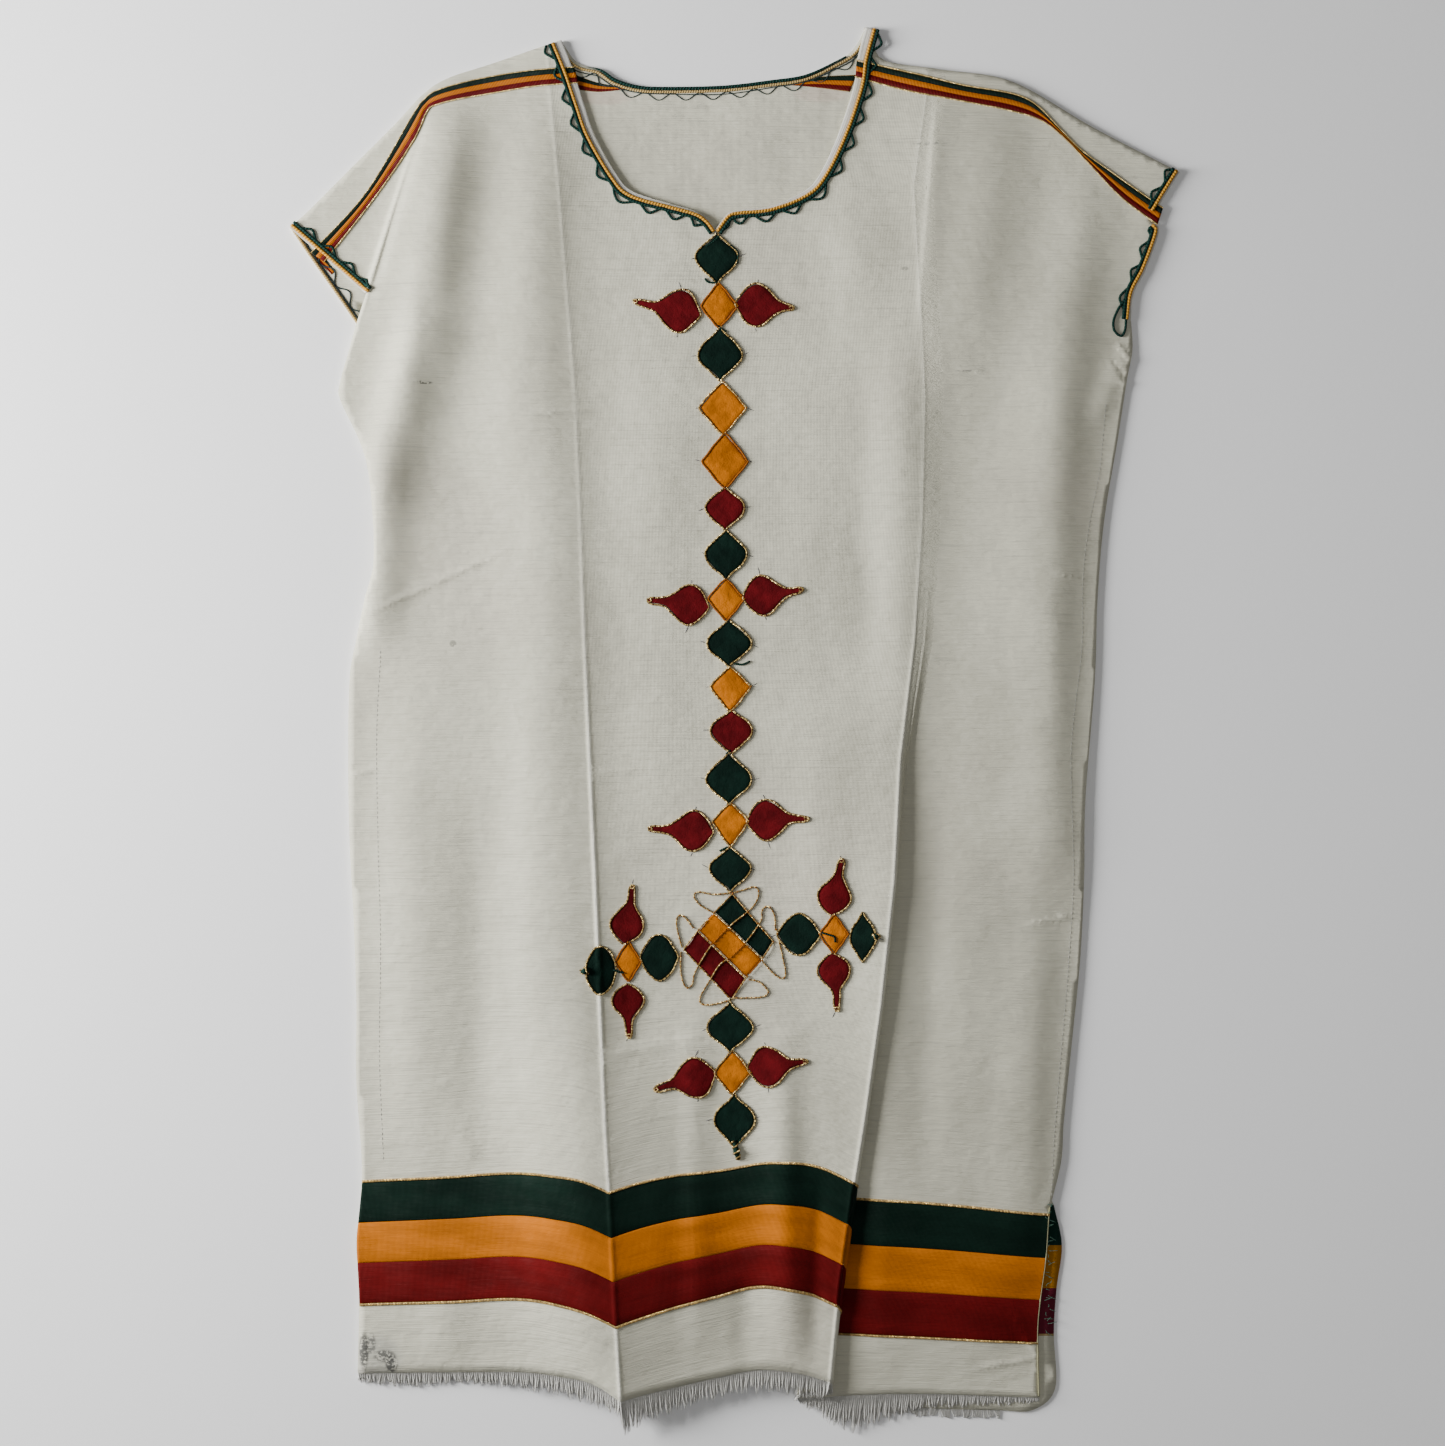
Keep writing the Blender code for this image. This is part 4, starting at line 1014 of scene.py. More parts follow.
@dataclass(frozen=True)
class Cotton:
    """Hand-woven off-white cotton: plain weave, uneven slubbed weft, faint clouds of warm and cool tone."""

    name: str
    light: Colour = (0.71, 0.69, 0.545)
    shade: Colour = (0.61, 0.59, 0.465)
    marks: tuple[Mark, ...] = ()
    levels: tuple[float, ...] = ()
    bands: tuple[Colour, ...] = ()
    # Whether the lips of the crease and the pleat get a painted highlight
    painted_crest_highlights: bool = False

    def make(self) -> Finish:
        """Build the material."""
        g = Graph(self.name)
        clouds = g.noise(g.object, 9.0, 3.0)
        colour = g.mix(g.range(clouds, 0.35, 0.7, 0.0, 1.0), self.light, self.shade)
        warm = g.noise(g.object, 4.3, 2.0)
        colour = g.tinted(colour, warm, 0.52, 0.72, 0.35, (0.67, 0.61, 0.50))
        streaks = g.noise(g.stretched(g.cloth, (14.0, 620.0, 1.0)), 1.0, 3.0, 0.6)
        colour = g.tinted(colour, streaks, 0.5, 0.78, 0.5, (0.42, 0.41, 0.335))
        slubs = g.noise(g.stretched(g.cloth, (34.0, 1150.0, 1.0), 0.0, (3.0, 7.0, 0.0)), 1.0, 2.0)
        colour = g.tinted(colour, slubs, 0.62, 0.8, 0.45, (0.86, 0.84, 0.69))
        weft = g.wave(g.cloth, 0.00085, "Y", 0.6)
        warp = g.wave(g.cloth, 0.00085, "X", 0.6)
        weave = g.math("MULTIPLY", weft, warp)
        colour = g.mix(g.range(weave, 0.0, 0.6, 0.22, 0.0), colour, (0.38, 0.37, 0.315))
        # Painted highlight along the lips of the crease and the pleat
        if self.painted_crest_highlights:
            colour = self.with_painted_crest_highlights(g, colour)
        for mark in self.marks:
            colour = self.marked(g, colour, mark)
        if self.bands:
            colour = self.with_bands(g, colour)
        crumple = g.noise(g.object, 38.0, 3.0, 0.55)
        normal = g.bump(crumple, 0.004, 0.35)
        normal = g.bump(g.noise(g.stretched(g.object, (60.0, 150.0, 60.0)), 1.0, 2.0), 0.0015, 0.5, normal)
        normal = g.bump(g.math("ADD", streaks, slubs), 0.0007, 0.6, normal)
        normal = g.bump(weave, 0.0003, 0.5, normal)
        rough = g.range(g.noise(g.object, 120.0), 0.3, 0.7, 0.82, 0.96)
        return g.finish(colour, rough, normal, sheen=0.05)

    @staticmethod
    def marked(g: Graph, colour, mark: Mark) -> Socket:
        """The colour with one mark on it: strongest at the mark's centre, broken by noise."""
        scale = (1.0 / (mark.wide * MM), 1.0 / (mark.high * MM), 0.0)
        centre = ((mark.x + CENTRE_SHIFT[0]) * MM, (mark.y + CENTRE_SHIFT[1]) * MM)
        shift = (-centre[0] * scale[0], -centre[1] * scale[1], 0.0)
        node = g.node("VectorMath", Vector=g.stretched(g.object, scale, 0.0, shift))
        node.operation = "LENGTH"
        share = g.range(node.outputs["Value"], 0.55, 1.0, mark.strength, 0.0)
        if mark.broken:
            grain = g.noise(g.object, 300.0, 2.0, 0.6)
            share = g.math("MULTIPLY", share, g.range(grain, mark.broken, mark.broken + 0.14, 0.0, 1.0))
        return g.mix(share, colour, mark.colour)

    @staticmethod
    def with_painted_crest_highlights(g: Graph, colour) -> Socket:
        """The colour with a painted highlight, paler than the cloth, along the lips of the pressed crease and
        the pleat's fold, at stations 1 and 2.
        """
        across, level = g.across_and_along(g.cloth)
        station = CHART * MM
        share = g.range(level, CREST_FADES[0] * MM, CREST_FADES[1] * MM, 0.75, 0.12)
        for middle, before, after in ((station, 0.0020, 0.0020), (2.0 * station, 0.0016, 0.026)):
            rising = g.range(across, middle - before, middle, 0.0, 1.0)
            falling = g.range(across, middle, middle + after, 1.0, 0.0)
            lip = g.math("MULTIPLY", g.math("MULTIPLY", rising, falling), share)
            # Painted highlight where the lips catch the light, strongest towards the hem
            colour = g.mix(lip, colour, (0.95, 0.93, 0.81))
        return colour

    def with_bands(self, g: Graph, colour) -> Socket:
        """The colour with a band between each pair of levels."""
        _, level = g.across_and_along(g.cloth)
        for high, low, band in zip(self.levels[:-1], self.levels[1:], self.bands):
            above = g.math("GREATER_THAN", level, low * MM)
            below = g.math("LESS_THAN", level, high * MM)
            colour = g.mix(g.math("MULTIPLY", above, below), colour, band)
        return colour


@dataclass(frozen=True)
class RibbonCloth:
    """Closely woven ribbon with fine ribs and a faint sheen."""

    name: str
    colour: Colour
    rib: float = 0.0009

    def make(self) -> Finish:
        """Build the material."""
        g = Graph(self.name)
        darker = shade_of(self.colour, 0.78)
        lighter = shade_of(self.colour, 1.18, 0.002)
        clouds = g.noise(g.stretched(g.cloth, (16.0, 60.0, 1.0)), 1.0, 3.0)
        colour = g.mix(g.range(clouds, 0.3, 0.7, 0.0, 1.0), darker, lighter)
        streaks = g.noise(g.stretched(g.cloth, (30.0, 900.0, 1.0)), 1.0, 2.0)
        colour = g.tinted(colour, streaks, 0.45, 0.8, 0.4, darker)
        ribs = g.math("ADD", g.wave(g.cloth, self.rib, "Y", 0.4), g.wave(g.cloth, self.rib, "X", 0.4))
        normal = g.bump(g.noise(g.object, 40.0, 3.0), 0.003, 0.3)
        normal = g.bump(streaks, 0.0005, 0.5, normal)
        normal = g.bump(ribs, 0.0002, 0.5, normal)
        rough = g.range(g.noise(g.object, 90.0), 0.3, 0.7, 0.62, 0.8)
        return g.finish(colour, rough, normal, sheen=0.0)


@dataclass(frozen=True)
class Felt:
    """Felted patch cloth: a short nap with lint caught in it."""

    name: str
    colour: Colour

    def make(self) -> Finish:
        """Build the material."""
        g = Graph(self.name)
        nap = g.noise(g.object, 900.0, 3.0, 0.7)
        clouds = g.noise(g.object, 70.0, 3.0)
        darker = shade_of(self.colour, 0.72)
        lighter = shade_of(self.colour, 1.25, 0.002)
        colour = g.mix(g.range(clouds, 0.3, 0.7, 0.0, 1.0), darker, lighter)
        lint = shade_of(self.colour, 1.7, 0.01)
        colour = g.tinted(colour, nap, 0.62, 0.8, 0.35, lint)
        normal = g.bump(g.noise(g.object, 160.0, 2.0), 0.0012, 0.6)
        normal = g.bump(nap, 0.0004, 0.8, normal)
        return g.finish(colour, g.range(nap, 0.3, 0.7, 0.84, 0.97), normal, sheen=0.01)


@dataclass(frozen=True)
class Yarn:
    """Twisted yarn or cord: plies that run round it as a helix."""

    name: str
    colour: Colour
    ply: float = 0.0022
    gloss: float = 0.62

    def make(self) -> Finish:
        """Build the material."""
        g = Graph(self.name)
        helix = g.stretched(g.cloth, (1.0 / self.ply, 1.0, 1.0), 0.785)
        plies = g.wave(helix, 0.72, "X")
        darker = shade_of(self.colour, 0.55)
        colour = g.mix(g.range(plies, 0.1, 0.7, 0.0, 1.0), darker, self.colour)
        fibres = g.noise(g.stretched(g.cloth, (900.0, 18.0, 1.0)), 1.0, 2.0)
        hairs = shade_of(self.colour, 1.4, 0.01)
        colour = g.tinted(colour, fibres, 0.5, 0.8, 0.4, hairs)
        normal = g.bump(plies, 0.0005, 0.7)
        normal = g.bump(fibres, 0.0003, 0.5, normal)
        return g.finish(colour, g.range(fibres, 0.3, 0.7, self.gloss, self.gloss + 0.2), normal)


@dataclass(frozen=True)
class GoldThread:
    """Metallised thread: dull gold with painted glints of brighter colour on its flats, wrapped round a tan
    core.
    """

    name: str
    # Colour of the painted glints
    painted_glint: Colour = (1.0, 0.74, 0.30)
    dull: Colour = (0.26, 0.17, 0.05)

    def make(self) -> Finish:
        """Build the material."""
        g = Graph(self.name)
        # Painted glints: spots of the bright colour, scattered by noise, stand in for light caught by the
        # flats; the same noise makes those spots glossier
        painted_glints_and_gloss = g.noise(g.object, 330.0, 2.0, 0.7)
        wraps = g.wave(g.stretched(g.cloth, (1.0, 0.0006, 1.0)), 0.0011, "X", 0.5)
        share = g.range(painted_glints_and_gloss, 0.47, 0.6, 0.0, 1.0)
        colour = g.mix(share, self.dull, self.painted_glint)
        colour = g.mix(g.range(wraps, 0.0, 0.5, 0.5, 0.0), colour, shade_of(self.dull, 0.4))
        normal = g.bump(wraps, 0.0004, 0.8)
        normal = g.bump(g.noise(g.object, 700.0, 2.0), 0.0004, 0.8, normal)
        return g.finish(colour, g.range(painted_glints_and_gloss, 0.4, 0.7, 0.55, 0.22), normal, metallic=0.55, specular=0.5)


@dataclass(frozen=True)
class TapeCloth:
    """Narrow woven tape with three stripes across its width and a gold glint on both selvedges."""

    name: str

    def make(self) -> Finish:
        """Build the material: the share across the tape picks the stripe."""
        g = Graph(self.name)
        _, across = g.across_and_along(g.cloth)
        ramp = g.node("ValToRGB", Fac=across)
        ramp.color_ramp.interpolation = "CONSTANT"
        stripes = (
            (0.0, (0.30, 0.19, 0.07)), (0.045, RIBBON_COLOURS[Dye.GREEN]), (0.36, RIBBON_COLOURS[Dye.YELLOW]),
            (0.645, RIBBON_COLOURS[Dye.RED]), (0.955, (0.36, 0.23, 0.09)),
        )
        while len(ramp.color_ramp.elements) < len(stripes):
            ramp.color_ramp.elements.new(0.5)
        for element, (place, stripe) in zip(ramp.color_ramp.elements, stripes):
            element.position = place
            element.color = (*stripe, 1.0)
        ribs = g.wave(g.stretched(g.cloth, (1.0, 0.0, 1.0)), 0.0011, "X", 0.3)
        colour = g.mix(g.range(ribs, 0.0, 0.6, 0.35, 0.0), ramp.outputs["Color"], (0.01, 0.006, 0.003))
        normal = g.bump(ribs, 0.0004, 0.6)
        rough = g.range(g.noise(g.object, 300.0), 0.3, 0.7, 0.55, 0.8)
        return g.finish(colour, rough, normal)


@dataclass
class FrontPanel:
    """The front with its half sleeves: one sheet with a pressed crease, a shut pleat and soft folds."""

    pitch: float = 4.3
    edge_step: float = 4.0
    margin: float = 2.2
    sharp: float = 4.0
    marks: tuple[Mark, ...] = (
        Mark(-266, -467, 24, 22, (0.30, 0.30, 0.29), 0.4, 0.25),
        Mark(-274.5, -461, 4.5, 17, (0.05, 0.05, 0.05), 0.85, 0.36),
        Mark(-269, -456, 4, 10, (0.08, 0.08, 0.08), 0.7, 0.42),
        Mark(-259, -465, 10, 6, (0.06, 0.06, 0.06), 0.8, 0.4),
        Mark(-254, -471, 6, 8, (0.05, 0.05, 0.05), 0.85, 0.38),
        Mark(-229, 258, 8, 1.6, (0.06, 0.06, 0.05), 0.8, 0.42),
        Mark(-208, 65, 3.2, 3.2, (0.10, 0.10, 0.09), 0.55, 0.3),
        Mark(146, 436, 17, 1.3, (0.16, 0.16, 0.15), 0.5, 0.4),
        Mark(127.5, 343, 3.5, 1.8, (0.15, 0.15, 0.13), 0.5, 0.35),
        Mark(176, 267, 13, 1.0, (0.14, 0.14, 0.13), 0.55, 0.4),
        Mark(-18, 395, 5, 2.0, (0.16, 0.17, 0.24), 0.5, 0.35),
    )

    def columns(self) -> Array:
        """Stations of the mesh's columns, closer at the crease and in the pleat."""
        step = self.pitch / CHART
        return np.concatenate((
            np.arange(-0.4, 0.955, step), np.linspace(0.96, 1.04, 19), np.arange(1.055, 1.94, step),
            np.linspace(1.95, 2.0, 13), np.linspace(2.0, 3.0, 40)[1:], np.linspace(3.012, 3.05, 3),
            np.arange(3.065, 4.4, step),
        ))

    def fold_rows(self) -> Array:
        """Charted points in rows beside each fold that is sharper than the mesh."""
        offsets = np.array((-6.0, -4.2, -3.0, -2.1, -1.4, -0.7, 0.0, 0.7, 1.4, 2.1, 3.0, 4.2, 6.0))
        rows = []
        for x0, y0, x1, y1, _, left_width, right_width in SOFT_FOLDS + CLOTH_FOLDS:
            if min(left_width, right_width) > self.sharp:
                continue
            start, end = np.array((x0, y0), dtype=float), np.array((x1, y1), dtype=float)
            length = float(np.linalg.norm(end - start))
            share = np.linspace(-0.1, 1.1, max(4, int(length * 1.2 / self.pitch)))[:, None, None]
            aside = np.array((-(end - start)[1], (end - start)[0])) / length
            rows.append((start + (end - start) * share + aside * offsets[None, :, None]).reshape(-1, 2))
        station, level = SPACE.chart(np.vstack(rows))
        return np.stack((station * CHART, level), axis=-1)

    def build(self) -> tuple[Piece, float]:
        """Mesh the front on its chart and lay it out.

        Returns:
            The piece and its cloth's area in square metres.
        """
        outline = front_outline(self.edge_step)
        columns = self.columns() * CHART
        foot = columns[(columns > outline[0, 0] + 2.0) & (columns < outline[-1, 0] - 2.0)][::-1]
        outline = np.vstack((outline, np.stack((foot, np.full_like(foot, HEM)), axis=-1)))
        if ring_area(outline) < 0:
            outline = outline[::-1]
        rows = np.arange(HEM + 2.0, 530.0, self.pitch)
        grid = np.stack(np.meshgrid(columns, rows), axis=-1).reshape(-1, 2)
        inner = np.vstack((grid, self.fold_rows()))
        inner = inner[inside_with_margin(inner, outline, self.margin)]
        flat, faces = meshed(outline, inner)
        station, level = flat[:, 0] / CHART, flat[:, 1]
        piece = Piece("dress_front")
        uv = np.stack((station * CHART, level), axis=-1) * MM
        area = add_shell(piece, SPACE.lay(station, level), SPACE.normal(station, level), faces, uv)
        return piece, area

    def dress(self) -> tuple[Thing, float]:
        """Build the front in its cotton."""
        piece, area = self.build()
        # The front's cotton gets the painted highlight along its crease and its pleat
        finish = Cotton("front_cotton", marks=self.marks, levels=BAND_LEVELS,
                        bands=tuple(RIBBON_COLOURS.values()), painted_crest_highlights=True)
        made = piece.make(finish.make(), "cotton", ("front_panel",))
        return made, area


@dataclass
class BackPanel:
    """The back, flat on the surface, seen through the neck, in the sleeves and past the slit."""

    pitch: float = 9.0
    edge_step: float = 5.0
    neck_swell: float = 1.4
    neck_middle: float = -12.0
    neck_half: float = 62.0
    swell_starts: tuple[float, float] = (392.0, 425.0)
    swell_ends: tuple[float, float] = (455.0, 482.0)
    wrong_side: tuple[Colour, ...] = (
        (0.003, 0.026, 0.018), (0.42, 0.17, 0.008), (0.13, 0.012, 0.026), (0.4, 0.28, 0.12),
    )
    marks: tuple[Mark, ...] = (
        Mark(-96, 472, 26, 7, (0.58, 0.40, 0.34), 0.3),
        Mark(66, 474, 26, 7, (0.58, 0.40, 0.34), 0.3),
        Mark(-268, 336, 14, 20, (0.50, 0.50, 0.47), 0.4),
    )

    def outline(self) -> Array:
        """Edge of the back as a closed ring."""
        runs = (SIDE_LEFT[:-1][::-1], CUFF_LEFT_BACK[::-1], SHOULDER_LEFT[::-1], NECK_BACK,
                SHOULDER_RIGHT[::-1], CUFF_RIGHT[::-1], SIDE_RIGHT[::-1], SLIT_BACK[::-1])
        line = np.vstack([curve(run, self.edge_step)[:-1] for run in runs])
        first, last = HEM_BACK[0], HEM_BACK[-1]
        line = line[(line[:, 1] > first[1] + 1.0) | (line[:, 0] > last[0] + 1.0)]
        ring = np.vstack((line, curve(HEM_BACK, self.edge_step)[::-1]))
        return ring if ring_area(ring) > 0 else ring[::-1]

    def build(self) -> tuple[Piece, float]:
        """Mesh the back with a slight swell where the neck shows it.

        Returns:
            The piece and its cloth's area in square metres.
        """
        ring = self.outline()
        across, along = np.arange(-330.0, 334.0, self.pitch), np.arange(-506.0, 526.0, self.pitch)
        inner = np.stack(np.meshgrid(across, along), -1).reshape(-1, 2)
        inner = inner[inside_with_margin(inner, ring, self.pitch * 0.4)]
        flat, faces = meshed(ring, inner)
        x, y = flat[:, 0], flat[:, 1]
        window = np.exp(-((x - self.neck_middle) / self.neck_half) ** 2)
        window = window * smooth_step(*self.swell_starts, y) * (1.0 - smooth_step(*self.swell_ends, y))
        ripple = 0.6 + 0.4 * np.sin(x / 19.0 + 0.5 * np.sin(y / 11.0))
        z = HALF + self.neck_swell * window * ripple
        middle = np.stack((x, y, z), axis=-1)
        piece = Piece("dress_back")
        normal = np.tile((0.0, 0.0, 1.0), (len(middle), 1))
        area = add_shell(piece, middle, normal, faces, flat * MM)
        return piece, area

    def dress(self) -> tuple[Thing, float]:
        """Build the back in its cotton, with the bands' wrong side."""
        piece, area = self.build()
        finish = Cotton("back_cotton", marks=self.marks, levels=BACK_BAND_LEVELS, bands=self.wrong_side)
        return piece.make(finish.make(), "cotton", ("back_panel",)), area


def add_ribbon(piece: Piece, place, profile: tuple, width: float, share_uv: bool = False) -> None:
    """Add a flat woven strip: its closed section, row by row, is carried along its length.

    Args:
        piece: The piece that gets it.
        place: Gives a row of points along the strip for a share across it and a height.
        profile: Rows of share across and height, over the top and back below.
        width: Width of the strip in millimetres.
        share_uv: Whether the cloth coordinate across is the plain share.
    """
    rows = np.stack([place(share, height) for share, height in profile], axis=1)
    length, sides = rows.shape[:2]
    faces, corners = grid_faces(length, sides, closed=True)
    run = run_of(rows[:, sides // 4]) * MM
    across = np.array([row[0] for row in profile] + [profile[0][0]]) * (1.0 if share_uv else width * MM)
    uv = np.stack((run[corners[..., 0]], across[corners[..., 1]]), axis=-1)
    flat = rows.reshape(-1, 3)
    top = faces[corners[:, 0, 1] < sides // 2]
    turned = np.cross(flat[top[:, 1]] - flat[top[:, 0]], flat[top[:, 3]] - flat[top[:, 0]])[:, 2].sum()
    caps = np.arange(sides)
    if turned < 0:
        faces, uv, caps = faces[:, ::-1], uv[:, ::-1], caps[::-1]
    base = piece.total
    piece.add(flat, faces, uv)
    piece.faces.append((caps + base).tolist())
    piece.faces.append((caps[::-1] + base + (length - 1) * sides).tolist())
    piece.corners.append(np.zeros((2 * sides, 2)))


def strip_profile(thickness: float, ribs: int = 0, base: float = HALF - 0.1, columns: int = 9) -> tuple:
    """Section of a strip: a flat top with round edges, or ribs side by side, closed below.

    Args:
        thickness: Height of the top over the cloth's face.
        ribs: Number of ribs across it.
        base: Height of the underside.
        columns: Number of points over the top.

    Returns:
        Rows of share across and height.
    """
    share = 0.5 - 0.5 * np.cos(np.linspace(0.0, math.pi, columns))
    rise = thickness * (1.0 - np.abs(2.0 * share - 1.0) ** 8) ** 0.5
    if ribs:
        share = np.linspace(0.0, 1.0, columns)
        rise = thickness * (0.55 + 0.45 * np.abs(np.sin(ribs * math.pi * share)))
        rise[0] = rise[-1] = 0.0
    top = [(float(s), HALF + float(r)) for s, r in zip(share, rise)]
    return tuple(top + [(float(s), base) for s in share[::-1]])


@dataclass
class HemBands:
    """Three woven ribbons round the hem with a gold line along their outer edges."""

    thickness: float = ON_CLOTH - HALF + RIBBON
    gold_width: float = 1.7
    side_reach: float = 0.1

    def stations(self, level: float) -> Array:
        """Stations along a thread of the front from its left edge to its right one.

        Args:
            level: Level of the thread.

        Returns:
            Stations, crowded at the crease and in the pleat.
        """
        base = np.concatenate((
            np.linspace(0.0, 0.94, 100), np.linspace(0.95, 1.05, 21), np.linspace(1.06, 1.95, 100),
            np.linspace(1.96, 2.0, 5), np.linspace(2.0, 3.0, 60)[1:], np.linspace(3.01, 4.0, 110),
        ))
        left_station, left_level = SPACE.chart(curve(SIDE_LEFT[::-1], 4.0))
        right = np.vstack((curve(SLIT_FRONT, 4.0), curve(SIDE_RIGHT, 4.0)[1:]))
        right_station, right_level = SPACE.chart(right)
        first = np.interp(level, left_level, left_station)
        last = np.interp(level, right_level, right_station)
        ends = (0.0, self.side_reach, 4.0 - self.side_reach, 4.0)
        return np.interp(base, ends, (first, self.side_reach, 4.0 - self.side_reach, last))

    def strip(self, name: str, low: float, high: float, profile: tuple) -> Piece:
        """One strip between two levels of the front.

        Args:
            name: Name of the piece.
            low: Its lower level.
            high: Its upper level.
            profile: Its section.

        Returns:
            The piece.
        """
        piece = Piece(name)

        def place(share: float, height: float) -> Array:
            level = low + (high - low) * share
            stations = self.stations(level)
            return SPACE.raised(stations, np.full_like(stations, level), height)

        add_ribbon(piece, place, profile, high - low)
        return piece

    def dress(self) -> list[Thing]:
        """Build the ribbons and their gold lines."""
        made = []
        section = strip_profile(self.thickness)
        for dye, high, low in zip(Dye, BAND_LEVELS[:-1], BAND_LEVELS[1:]):
            piece = self.strip(f"band_{dye.value}", low - 0.05, high + 0.05, section)
            finish = RibbonCloth(f"ribbon_{dye.value}", RIBBON_COLOURS[dye])
            made.append(piece.make(finish.make(), f"band_{dye.value}", (f"hem_band_{dye.value}",)))
        # The gold line's bright colour is its painted glint
        gold = GoldThread("gold_line", painted_glint=(0.85, 0.56, 0.18), dull=(0.34, 0.22, 0.08)).make()
        raised = strip_profile(self.thickness + 0.35)
        for name, level in (("upper", BAND_LEVELS[0]), ("lower", BAND_LEVELS[-1] - self.gold_width)):
            piece = self.strip(f"gold_line_{name}", level - 0.2, level + self.gold_width, raised)
            made.append(piece.make(gold, "trim", ()))
        return made


@dataclass
class ShoulderTapes:
    """Narrow three-striped tapes that run from the neck over each shoulder to the cuff."""

    thickness: float = 1.1
    count: int = 150

    def dress(self) -> list[Thing]:
        """Build both tapes."""
        made = []
        finish = TapeCloth("tape_cloth").make()
        section = strip_profile(self.thickness, ribs=3, columns=19)
        gold = Piece("tape_gold_edges")
        for side, (upper, lower) in (("left", TAPE_LEFT), ("right", TAPE_RIGHT)):
            high = evenly(curve(upper, 4.0), self.count)
            low = evenly(curve(lower, 4.0), self.count)
            piece = Piece(f"tape_{side}")
            add_ribbon(piece, lambda s, h: SPACE.over(high * (1.0 - s) + low * s, h), section, 1.0,
                       share_uv=True)
            made.append(piece.make(finish, "tape", (f"shoulder_tape_{side}",)))
            for line, out in ((high, -0.25), (low, 0.25)):
                add_cord(gold, SPACE.over(beside(line, out), HALF + 0.75), 0.5)
        made.append(gold.make(GoldThread("tape_gold", dull=(0.40, 0.28, 0.10)).make(), "trim", ()))
        return made


